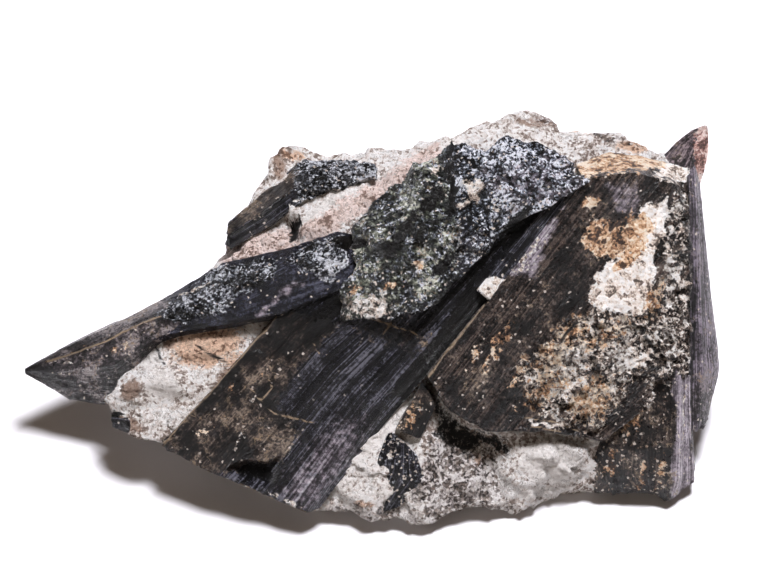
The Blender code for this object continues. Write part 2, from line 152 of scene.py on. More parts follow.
# %% [markdown]
# ## Painting by place
# A stain or a coating covers a patch with a ragged edge. Each patch is stored on the mesh as a soft
# number that falls from 1 inside to 0 outside, and the material breaks its edge up with noise. Some patches
# are painted shade or painted sheen. Thin cracks, pale lines of painted highlight along edges and dark lines
# of painted shade in grooves are stored as their distance in mm, which stays sharp between mesh points.

# %% Patches and lines
FAR = 9.0  # mm, further than any line shows
FRONT_OUT = -9  # mm that a point on the display side stands out, at the least
WANDER = ((2.6, 500), (0.9, 510))  # mm wide and layer of the broad and the fine noise that shift the places
PATCH_SHIFT, LINE_SHIFT = (4, 3), (1.5, 0.8)  # picture steps, by the broad and the fine noise


def spots(place, listed):
    """Largest 1.5 - r, cut to 0..1, with r = 1 on each ellipse (x, y, half length, half width, turn)."""
    field = np.zeros(len(place))
    for x, y, long, wide, turn in listed:
        c, s = math.cos(math.radians(turn)), math.sin(math.radians(turn))
        dx, dy = place[:, 0] - x, y - place[:, 1]
        r = np.hypot((dx * c + dy * s) / long, (dy * c - dx * s) / wide)
        field = np.maximum(field, np.clip(1.5 - r, 0, 1))
    return field


def line_distance(place, path):
    """Distance in picture steps from each place to a path of straight pieces."""
    best = np.full(len(place), 1e3)
    for start, end in zip(path, path[1:]):
        start, run = np.array(start, float), np.subtract(end, start).astype(float)
        t = np.clip(((place - start) @ run) / (run @ run), 0, 1)
        best = np.minimum(best, np.linalg.norm(place - start - t[:, None] * run, axis=1))
    return best


def area(place, corners, soft):
    """0.5 + signed distance to the outline / (2 soft), cut to 0..1, which is 1 well inside it."""
    inside = np.zeros(len(place), bool)
    for (x0, y0), (x1, y1) in zip(corners, corners[1:] + corners[:1]):
        crosses = (y0 > place[:, 1]) != (y1 > place[:, 1])
        at = x0 + (place[:, 1] - y0) / ((y1 - y0) or 1e-9) * (x1 - x0)
        inside ^= crosses & (place[:, 0] < at)
    far = line_distance(place, corners + corners[:1])
    return np.clip(0.5 + np.where(inside, far, -far) / (2 * soft), 0, 1)


def patch(*shapes, base=0.0):
    """base + largest weight * shape, as a function of place; shapes are functions, ellipses or outlines."""

    def measured(place, shape, soft):
        if callable(shape):
            return shape(place)
        return area(place, shape, *soft) if soft else spots(place, shape)

    def value(place):
        layers = [weight * measured(place, shape, soft) for weight, shape, *soft in shapes]
        return base + np.max(layers, axis=0)

    return value


def cracks(place, paths):
    """Distance in mm to the nearest of the paths, or FAR where there are none."""
    nearest = [line_distance(place, path) for path in paths]
    return np.min(nearest, axis=0) * STEP / MM if paths else np.full(len(place), FAR)


def fields(points, rust=0, pale=0, grains=0, film=0, lilac=0, black=0, specks=0, crack_and_edge_highlight=(), groove=()):
    """Values of numbers or patches at places shifted by noise; black patches and the lines of cracks and
    grooves, with their painted shade and highlights, keep to the front.
    """
    true_place = picture_place(points)
    broad, fine = (
        np.stack([smooth_noise(points / (wide * MM), layer + axis) for axis in (0, 1)], axis=1)
        for wide, layer in WANDER
    )
    place, line_place = (true_place + far * broad + near * fine for far, near in (PATCH_SHIFT, LINE_SHIFT))
    out = (points[:, 2] * math.sin(LEAN) - (points[:, 1] - SET_BACK) * math.cos(LEAN)) / MM
    front = out > FRONT_OUT
    none = np.zeros(len(points))
    given = (rust, pale, grains, film, lilac, black, specks)
    rust, pale, grains, film, lilac, black, specks = (
        what(place) if callable(what) else none + what for what in given
    )
    crack_and_edge_highlight, groove = (np.where(front, cracks(line_place, paths), FAR) for paths in (crack_and_edge_highlight, groove))
    return {
        "marks": (rust, pale, grains, film),
        "tints": (lilac, black * front, specks, none),
        "lines": (crack_and_edge_highlight, groove, none, none),
    }


print("middle and edge of a spot:", spots(np.array([[0.0, 0.0], [10.0, 0.0]]), [(0, 0, 10, 5, 0)]))


# %% [markdown]
# ## From grid to mesh
# A prism is a skin stretched over a few cross-sections: between two cross-sections every corner moves
# in a straight line, and so does every side. Each end is closed by rings that shrink to a point, with
# a broken relief. The skin is then pushed in and out along its normals by the ridges and chips.

# %% Prism skin
CAP_STEP = 0.0006  # m between the rings that close an end
FACES_TRIED = 4000  # faces that vote on which way is outward


def even_steps(lengths, step):
    """Parameters k + i / n, with n steps no longer than step in each stretch k."""
    counts = np.maximum(2, np.ceil(lengths / step)).astype(int)
    return np.concatenate([k + np.arange(n) / n for k, n in enumerate(counts)])


def between(values, at):
    """Straight-line blend of rows floor(at) and floor(at) + 1."""
    lower = np.minimum(at.astype(int), len(values) - 2)
    part = (at - lower).reshape((-1,) + (1,) * (values.ndim - 1))
    return values[lower] * (1 - part) + values[lower + 1] * part


def prism_rows(sections, along_step, around_step):
    """P(t, s) = blend along t of the sections, then along s of their corners, with end rings that shrink."""
    rings = np.array([station(*section) for section in sections])
    closed = np.concatenate([rings, rings[:, :1]], axis=1)
    around = even_steps(np.linalg.norm(np.diff(closed, axis=1), axis=2).max(axis=0), around_step)
    gaps = np.linalg.norm(np.diff(rings, axis=0), axis=2).max(axis=1)
    along = np.append(even_steps(gaps, along_step), len(rings) - 1.0)
    body = between(np.swapaxes(between(closed, along), 0, 1), around)
    body = np.swapaxes(body, 0, 1)
    ends = []
    for ring in (body[0], body[-1]):
        middle = ring.mean(axis=0)
        reach = np.linalg.norm(ring - middle, axis=1).max()
        count = max(2, int(reach / CAP_STEP))
        shrink = (np.arange(1, count) / count)[:, None, None]
        ends.append(ring + (middle - ring) * shrink)
    return np.concatenate([ends[0][::-1], body, ends[1]]), len(ends[0]), len(body)


def row_normals(rows):
    """Unit cross product of the differences around and along, which may still point inward."""
    around = np.roll(rows, -1, axis=1) - np.roll(rows, 1, axis=1)
    along = np.gradient(rows, axis=0)
    normal = np.cross(around, along)
    normal /= np.linalg.norm(normal, axis=2, keepdims=True) + 1e-12
    return normal


def mesh_piece(name, points, faces, paint, corner_uv=None):
    """Smooth object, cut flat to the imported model's box, turned outward, with its paint as attributes."""
    points = np.clip(points, np.array(cad_low), np.array(cad_high))
    picked = faces[:: max(1, len(faces) // FACES_TRIED)]
    corner = points[np.array([face[:3] for face in picked])]
    middle = points.mean(axis=0)
    out = (np.cross(corner[:, 1] - corner[:, 0], corner[:, 2] - corner[:, 0]) * (corner[:, 0] - middle)).sum()
    mesh = bpy.data.meshes.new(name)
    mesh.from_pydata(points.tolist(), [], faces)
    if corner_uv is not None:
        layer = mesh.uv_layers.new(name="along")
        layer.data.foreach_set("uv", corner_uv.astype(np.float32).ravel())
    if out < 0:
        mesh.flip_normals()
    for key, values in fields(points, **paint).items():
        attribute = mesh.attributes.new(key, "FLOAT_COLOR", "POINT")
        attribute.data.foreach_set("color", np.stack(values, axis=1).astype(np.float32).ravel())
    mesh.polygons.foreach_set("use_smooth", np.ones(len(faces), bool))
    placed = bpy.data.objects.new(name, mesh)
    bpy.context.scene.collection.objects.link(placed)
    print(name, len(points), "points", len(faces), "faces")
    return placed


def prism(name, sections, relief, paint, along_step=0.00055, around_step=0.00035):
    """Closed prism: rows pushed outward along normals by relief, joined by quads and a fan at each pole."""
    rows, foot, length = prism_rows(sections, along_step, around_step)
    count, width = rows.shape[:2]
    normal = row_normals(rows)
    across = np.linalg.norm(np.roll(rows, -1, axis=1) - rows, axis=2)[foot + length // 2]
    u = np.concatenate([[0], np.cumsum(across)]) / MM
    up = np.linalg.norm(np.diff(rows, axis=0), axis=2).mean(axis=1)
    v = np.concatenate([[0], np.cumsum(up)]) / MM
    flat, flat_normal = rows.reshape(-1, 3), normal.reshape(-1, 3)
    side = np.zeros((count, width))
    side[foot : foot + length] = 1
    grid_u = np.tile(u[:-1], (count, 1)).ravel()
    grid_v = np.repeat(v, width)
    push = relief(flat, grid_u, grid_v, side.ravel())
    middle = rows.mean(axis=1, keepdims=True)
    sign = np.sign((normal * (rows - middle)).sum(axis=2)[foot : foot + length].mean())
    points = flat + flat_normal * sign * push[:, None]
    grid = points.reshape(count, width, 3)
    points = np.concatenate([points, [grid[0].mean(axis=0)], [grid[-1].mean(axis=0)]])
    number = np.arange(count * width).reshape(count, width)
    after = np.roll(number, -1, axis=1)
    quads = np.stack([number[:-1], after[:-1], after[1:], number[1:]], axis=-1).reshape(-1, 4)
    foot_pole, head_pole = count * width, count * width + 1
    fans = [(foot_pole, b, a) for a, b in zip(number[0], after[0])]
    fans += [(head_pole, a, b) for a, b in zip(number[-1], after[-1])]
    left, right = np.tile(u[:-1], (count - 1, 1)), np.tile(u[1:], (count - 1, 1))
    low, high = np.repeat(v[:-1, None], width, axis=1), np.repeat(v[1:, None], width, axis=1)
    uv = np.stack([left, low, right, low, right, high, left, high], axis=-1).reshape(-1, 2)
    caps = np.array([(0.0, v[0])] * 3 * width + [(0.0, v[-1])] * 3 * width)
    return mesh_piece(name, points, quads.tolist() + fans, paint, np.concatenate([uv, caps]))


# %% [markdown]
# ## Rock from its corners
# The matrix and the granular crest are lumps rather than prisms. Every corner of each can be seen from
# one inner point, so the surface is a distance r(direction). The corners' directions are joined into
# triangles, and inside a triangle with corners A, B, C the weights w that give the direction also
# give the distance, r = 1 / (wA + wB + wC). The directions come from six square grids, one for each
# side of a cube, stretched so that the points lie evenly on a flat wedge.

# %% Star-shaped lumps
SOLVED_AT_ONCE = 4000  # directions, which keeps the memory small
EVENING = 0.98  # of the angle that would space a cube's grid evenly on a ball


def corner_triangles(corners, centre):
    """Corner numbers of the triangles that join the directions, from the hull of the directions on a ball."""
    away = corners - centre
    ball = bmesh.new()
    for direction in away / np.linalg.norm(away, axis=1, keepdims=True):
        ball.verts.new(direction)
    bmesh.ops.convex_hull(ball, input=ball.verts)
    ball.verts.index_update()
    bmesh.ops.triangulate(ball, faces=ball.faces)
    found = np.array([[vertex.index for vertex in face.verts] for face in ball.faces])
    ball.free()
    return found


def cube_grid(count):
    """Whole-number places on the skin of a cube of side count, and the quads that join them."""
    line = np.arange(count + 1)
    a, b = np.meshgrid(line, line, indexing="ij")
    skins = []
    for axis in range(3):
        for level in (0, count):
            parts = [a, b]
            parts.insert(axis, np.full_like(a, level))
            skins.append(np.stack(parts, axis=-1))
    every = np.concatenate([skin.reshape(-1, 3) for skin in skins])
    unique, number = np.unique(every, axis=0, return_inverse=True)
    number = number.reshape(6, count + 1, count + 1)
    quads = []
    for which, grid in enumerate(number):
        quad = np.stack([grid[:-1, :-1], grid[1:, :-1], grid[1:, 1:], grid[:-1, 1:]], axis=-1).reshape(-1, 4)
        turned = (which % 2 == 0) ^ (which // 2 == 1)
        quads.append(quad[:, ::-1] if turned else quad)
    return unique / count * 2 - 1, np.concatenate(quads)


def star_distance(direction, corners, centre):
    """r = 1 / (sum of the weights) in the triangle whose smallest weight is largest."""
    away = corners - centre
    triangles = corner_triangles(corners, centre)
    solve = np.linalg.inv(np.swapaxes(away[triangles], 1, 2))
    r = np.empty(len(direction))
    for start in range(0, len(direction), SOLVED_AT_ONCE):
        part = slice(start, start + SOLVED_AT_ONCE)
        weights = np.einsum("tij,nj->nti", solve, direction[part])
        best = weights.min(axis=2).argmax(axis=1)
        r[part] = 1 / weights[np.arange(len(best)), best].sum(axis=1)
    return r


def lump(name, corners, centre, stretch, count, lumps, relief, paint, level=None):
    """P(direction) = centre + direction (r + lumps + relief), cut off flat at level where that is given."""
    cube, quads = cube_grid(count)
    bowed = np.tan(cube * math.pi / 4 * EVENING)
    direction = bowed * stretch
    direction /= np.linalg.norm(direction, axis=1, keepdims=True)
    r = star_distance(direction, corners, centre)
    r += lump_height(centre + direction * r[:, None], lumps)
    start = centre + direction * r[:, None]
    r += relief(start)
    if level is not None:
        fall = np.minimum(direction[:, 2], -1e-6)
        r = np.minimum(r, np.where(direction[:, 2] < -1e-6, (level - centre[2]) / fall, np.inf))
    points = centre + direction * r[:, None]
    return mesh_piece(name, points, quads.tolist(), paint)


# %% [markdown]
# ## One helper for nodes, one for colour
# Colours are written as they look on screen, sRGB hex, and turned to the linear values that light
# works with. Every material is a small graph, and one function adds each of its nodes. The formulas
# that both kinds of mineral share are short functions of their own.

# %% Colour and node helpers
def linear(colour):
    """c / 12.92 below 0.04045, otherwise ((c + 0.055) / 1.055)^2.4, for each of red, green and blue."""
    parts = [int(colour[k : k + 2], 16) / 255 for k in (1, 3, 5)]
    return tuple(c / 12.92 if c <= 0.04045 else ((c + 0.055) / 1.055) ** 2.4 for c in parts) + (1.0,)


def add(tree, kind, links=None, stops=None, out=0, **settings):
    """Adds a node with settings, links and colour stops; gives its output out, or the node for None."""
    node = tree.nodes.new("ShaderNode" + kind)
    for key, value in settings.items():
        setattr(node, key, value)
    for key, value in (links or {}).items():
        if isinstance(value, bpy.types.NodeSocket):
            tree.links.new(value, node.inputs[key])
        else:
            node.inputs[key].default_value = value
    if stops:
        ramp = node.color_ramp
        for place, colour in stops[2:]:
            ramp.elements.new(place)
        for element, (place, colour) in zip(ramp.elements, stops):
            element.position = place
            element.color = linear(colour)
    return node if out is None else node.outputs[out]


def new_material(name):
    """Empty material with a Principled shader."""
    material = bpy.data.materials.new(name)
    material.use_nodes = True
    tree = material.node_tree
    tree.nodes.clear()
    shader = add(tree, "BsdfPrincipled", out=None)
    add(tree, "OutputMaterial", {"Surface": shader.outputs[0]}, out=None)
    return material, tree, shader


def painted(tree):
    """Place in mm and the twelve painted point values, of which fields fills nine."""
    here = add(tree, "TexCoord", out="Object")
    place = add(tree, "VectorMath", {0: here, "Scale": 1000.0}, operation="SCALE")
    values = []
    for name in ("marks", "tints", "lines"):
        stored = add(tree, "Attribute", attribute_name=name, out=None)
        parts = add(tree, "SeparateColor", {0: stored.outputs["Color"]}, out=None)
        values += list(parts.outputs)[:3] + [stored.outputs["Alpha"]]
    return place, values


def weighted(tree, *pairs):
    """Sum of weight * value."""
    total = 0.0
    for weight, value in pairs:
        total = add(tree, "Math", {0: value, 1: weight, 2: total}, operation="MULTIPLY_ADD")
    return total


def tone(tree, *pairs):
    """0.5 + sum of weight * (value - 0.5): noises weighted around their middle."""
    level = 0.5 - 0.5 * sum(weight for weight, _ in pairs)
    return weighted(tree, *pairs, (1.0, level))


def stepped(tree, value, low, high):
    """Smooth step from 0 at low to 1 at high; a low above high falls instead."""
    limits = {"Value": value, "From Min": min(low, high), "From Max": max(low, high)}
    limits.update({"To Min": float(low > high), "To Max": float(low < high)})
    return add(tree, "MapRange", limits, interpolation_type="SMOOTHSTEP")


def ragged(tree, value, noise, reach, soft=0.07):
    """Step of a painted patch value that noise has pushed up and down by half of reach."""
    middle = 0.5 + 0.5 * reach
    return stepped(tree, weighted(tree, (1.0, value), (reach, noise)), middle - soft, middle + soft)


def covered(tree, colour, layers):
    """Lays each (mask, colour) or (mask, tone, colour stops) over what is there."""
    for mask, layer, *stops in layers:
        if stops:
            layer = add(tree, "ValToRGB", {0: layer}, stops=stops[0])
        colour = add(tree, "Mix", {0: mask, 6: colour, 7: layer}, data_type="RGBA", out=2)
    return colour


def tilted(tree, pairs):
    """Surface normal + sum of amount * (cell colour - 0.5), made one long again."""
    normal = add(tree, "NewGeometry", out="Normal")
    for cells, amount in pairs:
        tilt = add(tree, "VectorMath", {0: cells.outputs["Color"], 1: (0.5, 0.5, 0.5)}, operation="SUBTRACT")
        tilt = add(tree, "VectorMath", {0: tilt, "Scale": amount}, operation="SCALE")
        normal = add(tree, "VectorMath", {0: normal, 1: tilt}, operation="ADD")
    return add(tree, "VectorMath", {0: normal}, operation="NORMALIZE")


def ground(tree, place, noises, vein_width, vein_clouds, cell_sizes):
    """Crumbs, clouds, veins where wandering noise is within vein_width of 0.5, flat cells and their tones."""
    sockets = ("Vector", "Scale", "Detail", "Roughness", "Distortion")
    crumbs, cloud, wander = (add(tree, "TexNoise", dict(zip(sockets, (place, *noise)))) for noise in noises)
    off = add(tree, "Math", {0: wander, 1: 0.5}, operation="SUBTRACT")
    vein = stepped(tree, add(tree, "Math", {0: off}, operation="ABSOLUTE"), vein_width, 0.0)
    vein = add(tree, "Math", {0: vein, 1: stepped(tree, cloud, *vein_clouds)}, operation="MULTIPLY")
    cells = [add(tree, "TexVoronoi", {"Vector": place, "Scale": 1 / size}, out=None) for size in cell_sizes]
    tones = [add(tree, "SeparateColor", {0: cell.outputs["Color"]}) for cell in cells]
    return crumbs, cloud, vein, cells, tones


# %% [markdown]
# ## Aegirine
# Aegirine is a sodium iron pyroxene. Its prism faces grew as thin parallel steps, so they show fine
# lengthwise striation and a dull glassy gloss, blue-black where fresh. Weathering leaves a brown iron
# film, rust stains and pale clay. Where a prism broke across, it shows a mass of small grains, each
# with its own tilted cleavage face, which is why it sparkles. One graph holds all of these, and the
# painted patches choose between them.

# %% Aegirine material
STREAK = 0.32  # mm between fine growth lines
GRAIN = 0.36  # mm across a broken grain
COARSE_GRAIN = 1.1  # mm across the larger broken faces
AEGIRINE_IOR = 1.75
AEGIRINE_BUMP = 0.0013  # m of relief that the shading alone shows
RUST = [(0.39, "#40291a"), (0.435, "#99704e"), (0.475, "#cda27c"), (0.52, "#e8c9a8"), (0.59, "#f9ebd9")]
# Lilac-grey sheen, painted into the colour where the lilac patches lie
LILAC_SHEEN = [(0.40, "#544c54"), (0.455, "#8f8690"), (0.505, "#bab0bb"), (0.57, "#d8d0da"), (0.66, "#f1ecf3")]
COATING = [(0.38, "#54473e"), (0.415, "#b3a193"), (0.45, "#e4d6ca"), (0.50, "#faf3ec"), (0.57, "#fffdfb")]


def aegirine(name, body, film, grains, roughness, grooved=0.55, stain=RUST):
    """Dark crystal: its colour stops, the fresh face's roughness and how strongly its growth lines show."""
    material, tree, shader = new_material(name)
    shader.inputs["IOR"].default_value = AEGIRINE_IOR
    place, values = painted(tree)
    rust, pale, grainy, filmed, lilac, black, specks, _, crack_and_edge_highlight, groove = values[:10]

    along = add(tree, "UVMap", uv_map="along")
    fine = add(tree, "Mapping", {"Vector": along, "Scale": (1 / STREAK, 0.035, 1)})  # 29 mm long
    wide = add(tree, "Mapping", {"Vector": along, "Scale": (0.8, 0.014, 1)})  # 1.25 mm wide, 71 mm long
    streak = add(tree, "TexNoise", {"Vector": fine, "Scale": 1.0, "Detail": 3.0, "Roughness": 0.6})
    band = add(tree, "TexNoise", {"Vector": wide, "Scale": 1.0, "Detail": 4.0, "Roughness": 0.65})
    noises = ((1.3, 8, 0.78, 0), (0.2, 6, 0.65, 0), (0.28, 4, 0.55, 0.4))
    crumbs, cloud, vein, cells, tones = ground(tree, place, noises, 0.016, (0.46, 0.6), (GRAIN, COARSE_GRAIN))
    small_tone, large_tone = tones

    edge = add(tree, "TexNoise", {"Vector": place, "Scale": 1.0, "Detail": 5.0, "Roughness": 0.66})
    rust, pale, grainy, filmed = (ragged(tree, value, edge, 2.0) for value in (rust, pale, grainy, filmed))
    lilac, black = (ragged(tree, value, edge, 1.4, soft) for value, soft in ((lilac, 0.32), (black, 0.12)))
    growth = ((grooved, streak), (0.6 * grooved, band))
    fresh_tone = tone(tree, *growth, (0.18, crumbs), (0.09, small_tone), (0.35, cloud))
    film_tone = tone(tree, (0.85, cloud), (0.45, crumbs), (0.4 * grooved, streak), (0.14, small_tone))
    grain_tone = tone(tree, (0.36, small_tone), (0.20, large_tone), (0.55, crumbs), (1.05, cloud))
    coat_tone = tone(tree, (0.12, small_tone), (0.16, large_tone), (0.46, crumbs), (0.62, cloud))
    # Pale flecks: light specks on the crystal that also stand in as painted glints
    fleck = stepped(tree, weighted(tree, (1.0, small_tone), (0.5, specks)), 0.998, 1.006)
    broken_line = stepped(tree, crumbs, 0.34, 0.46)
    # Pale lines: cracks, and worn edges that are partly painted highlight
    on_crack_and_edge_highlight = add(tree, "Math", {0: stepped(tree, crack_and_edge_highlight, 0.24, 0.08), 1: broken_line}, operation="MULTIPLY")
    # Painted shade: near-black in grooves, gaps, the pit and under overhangs, from the groove lines and black
    # patches
    painted_shade = add(tree, "Math", {0: stepped(tree, groove, 0.45, 0.1), 1: black}, operation="MAXIMUM")
    colour = covered(tree, add(tree, "ValToRGB", {0: fresh_tone}, stops=body), [
        (filmed, film_tone, film), (grainy, grain_tone, grains), (lilac, fresh_tone, LILAC_SHEEN),
        (pale, coat_tone, COATING), (rust, coat_tone, stain),
        (add(tree, "Math", {0: vein, 1: filmed}, operation="MULTIPLY"), linear("#a8937a")),
        (fleck, linear("#d9cfc6")), (on_crack_and_edge_highlight, linear("#ab977f")), (painted_shade, linear("#070607")),
    ])
    tree.links.new(colour, shader.inputs["Base Color"])

    dulled = ((0.08, filmed), (0.30, rust), (0.35, pale), (-0.06, grainy), (0.3, crumbs))
    gloss = weighted(tree, *dulled, (1.0, roughness - 0.15))  # the crumbs add 0.15 again on average
    tree.links.new(gloss, shader.inputs["Roughness"])
    small_tilt = weighted(tree, (0.80, grainy), (0.40, filmed), (0.4, pale), (1.0, 0.22))
    large_tilt = weighted(tree, (0.65, grainy), (0.15, filmed), (0.3, pale), (1.0, 0.04))
    coated = weighted(tree, (-0.9, pale), (1.0, 1.0))  # a pale coating fills the growth lines
    grooves = weighted(tree, (1.2, streak), (0.7, band))
    height = add(tree, "Math", {0: grooves, 1: coated, 2: crumbs}, operation="MULTIPLY_ADD")
    bump = {"Height": height, "Strength": 1.0, "Distance": AEGIRINE_BUMP}
    bump["Normal"] = tilted(tree, zip(cells, (small_tilt, large_tilt)))
    tree.links.new(add(tree, "Bump", bump), shader.inputs["Normal"])
    return material


BLACK_BODY = [(0.42, "#030305"), (0.48, "#16161b"), (0.54, "#36363f"), (0.62, "#7a7a85")]
BROWN_FILM = [
    (0.42, "#060505"), (0.475, "#1c1614"), (0.525, "#3a312e"), (0.58, "#5f534b"), (0.65, "#9f9183"),
]
DARK_GRAINS = [
    (0.385, "#060607"), (0.445, "#1f2125"), (0.505, "#4a4e55"), (0.57, "#8c9098"), (0.67, "#eceff6"),
]
WARM_GRAINS = [
    (0.37, "#080605"), (0.45, "#2a1f19"), (0.52, "#665346"), (0.59, "#ae9986"), (0.69, "#f2e8dc"),
]

# Fresh prism face, grown in lengthwise steps: blue-black with a dull glassy gloss
black = aegirine("aegirine_fresh_striated", BLACK_BODY, BROWN_FILM, DARK_GRAINS, 0.24, 0.7)
# Smooth face on the left blade: the same mineral with fewer steps, so it mirrors more blue sky-light
blue = aegirine(
    "aegirine_smooth_face",
    [(0.431, "#0c0d13"), (0.483, "#1c1d27"), (0.523, "#2d2f3b"), (0.574, "#565867")],
    [(0.431, "#121012"), (0.471, "#2a2628"), (0.511, "#474044"), (0.557, "#756d70"), (0.603, "#a79f9f")],
    DARK_GRAINS, 0.22, 0.28,
)
# Prism broken across: a mass of small cleavage faces, greenish to bluish, that sparkle
granular = aegirine(
    "aegirine_broken_granular", BLACK_BODY,
    [(0.41, "#040503"), (0.465, "#161a14"), (0.51, "#3f4539"), (0.56, "#83887a"), (0.63, "#dfe0d4")],
    [(0.39, "#050607"), (0.455, "#1b1f24"), (0.515, "#4b515b"), (0.575, "#9299a6"), (0.66, "#f1f4fc")], 0.22,
)
# Weathered face with an iron film: brown-black, dull, stained
brown = aegirine(
    "aegirine_weathered", [(0.431, "#080606"), (0.477, "#191312"), (0.517, "#322825"), (0.569, "#6b5e57")],
    BROWN_FILM, WARM_GRAINS, 0.28,
)
# Striated face with a thin lilac-grey bloom
purple = aegirine(
    "aegirine_lilac_bloom", [(0.431, "#2c272c"), (0.477, "#4f484f"), (0.517, "#716876"), (0.569, "#a39aa6")],
    [(0.431, "#1a1617"), (0.477, "#3a3337"), (0.517, "#5b5358"), (0.569, "#8a8085")], DARK_GRAINS, 0.34, 0.85,
)
# Splinter with a flesh-red cleavage face and an iron film
rusty = aegirine(
    "aegirine_splinter", [(0.425, "#2b2327"), (0.468, "#53484d"), (0.508, "#7a6d72"), (0.56, "#ab9c9f")],
    BROWN_FILM, DARK_GRAINS, 0.36, 0.5,
    [(0.40, "#5a3a33"), (0.455, "#a0746a"), (0.50, "#c9a096"), (0.54, "#e6c9c0"), (0.60, "#f5e4de")],
)

# %% [markdown]
# ## Feldspar rock
# The matrix is coarse feldspar, broken by hammer: sugary grains about half a millimetre across,
# off-white to pink, with grey-brown dirt between them, dark specks of aegirine and a few rusty
# stains. Each grain is a flat cleavage face with its own tilt, so the rock glitters softly.

# %% Feldspar material
FELDSPAR_GRAIN = 0.45  # mm
FELDSPAR_FACE = 1.4  # mm across the larger cleavage faces
FELDSPAR_IOR = 1.53
FELDSPAR_BUMP = 0.0015  # m


def feldspar(name):
    """Pale sugary rock: tone = crumbs + clouds + grains, darkened along veins and by painted patches."""
    material, tree, shader = new_material(name)
    shader.inputs["IOR"].default_value = FELDSPAR_IOR
    shader.inputs["Roughness"].default_value = 0.55
    place, values = painted(tree)
    rust, pale, greyed, browned, pink, black, specks, _, _, groove = values[:10]
    noises = ((1.2, 8, 0.80, 0), (0.22, 6, 0.65, 0), (0.7, 6, 0.65, 0.9))
    sizes = (FELDSPAR_GRAIN, FELDSPAR_FACE)
    crumbs, cloud, vein, (small, large), tones = ground(tree, place, noises, 0.03, (0.40, 0.62), sizes)
    small_tone, large_tone = tones
    level = tone(tree, (0.18, small_tone), (0.10, large_tone), (0.52, crumbs), (0.50, cloud))
    base = add(tree, "ValToRGB", {0: level}, stops=[
        (0.40, "#8d7e75"), (0.43, "#c3b7af"), (0.465, "#e8e0db"), (0.51, "#f8f4f1"), (0.56, "#fffefd")])
    grey = add(tree, "ValToRGB", {0: level}, stops=[
        (0.431, "#0e0b0a"), (0.471, "#2f2927"), (0.506, "#857b79"), (0.546, "#cdc6c4"), (0.591, "#f2eeed")])
    rust, pale, greyed, browned, pink, black = (
        ragged(tree, value, crumbs, reach, soft)
        for reach, soft, several in ((2.0, 0.16, (rust, pale, greyed, browned)), (1.6, 0.1, (pink, black)))
        for value in several
    )
    rusty_rock, brown_rock, pink_rock = (
        add(tree, "Mix", {0: 1.0, 6: base, 7: linear(hue)}, data_type="RGBA", blend_type="MULTIPLY", out=2)
        for hue in ("#eed2bc", "#b5a194", "#f8e9e4")
    )
    whiter = add(tree, "Mix", {0: 0.75, 6: base, 7: linear("#fdfaf7")}, data_type="RGBA", out=2)
    fleck = add(tree, "Math", {0: stepped(tree, crumbs, 0.40, 0.35), 1: specks}, operation="MULTIPLY")
    # Painted shade: near-black in folds, the hollows and the recess, from the groove lines and black patches
    painted_shade = add(tree, "Math", {0: stepped(tree, groove, 0.4, 0.05), 1: black}, operation="MAXIMUM")
    colour = covered(tree, base, [
        (pale, whiter), (rust, rusty_rock), (browned, brown_rock), (pink, pink_rock), (greyed, grey),
        (add(tree, "Math", {0: vein, 1: 0.72}, operation="MULTIPLY"), linear("#57483f")),
        (fleck, linear("#1c1716")), (painted_shade, linear("#0d0a09")),
    ])
    tree.links.new(colour, shader.inputs["Base Color"])
    bump = {"Height": crumbs, "Strength": 1.0, "Distance": FELDSPAR_BUMP}
    bump["Normal"] = tilted(tree, [(small, 0.35), (large, 0.32)])
    tree.links.new(add(tree, "Bump", bump), shader.inputs["Normal"])
    return material


rock = feldspar("feldspar_broken_sugary")
print("materials:", [material.name for material in bpy.data.materials])

# %% [markdown]
# ## The prisms
# Each prism is a short list of cross-sections from foot to head. The corners that show were read on
# the display side, and the hidden ones are set back from them, as in the solid model.

# %% Cross-sections
def station(corners, behind_last, behind_first):
    """Ring of the seen corners, then the last and the first one again, each moved (back, down) mm."""
    ring = [seen(*corner) for corner in corners]
    for start, (back, down) in ((ring[-1], behind_last), (ring[0], behind_first)):
        ring.append(start + np.array((0, back, -down)) * MM)
    return np.array(ring)


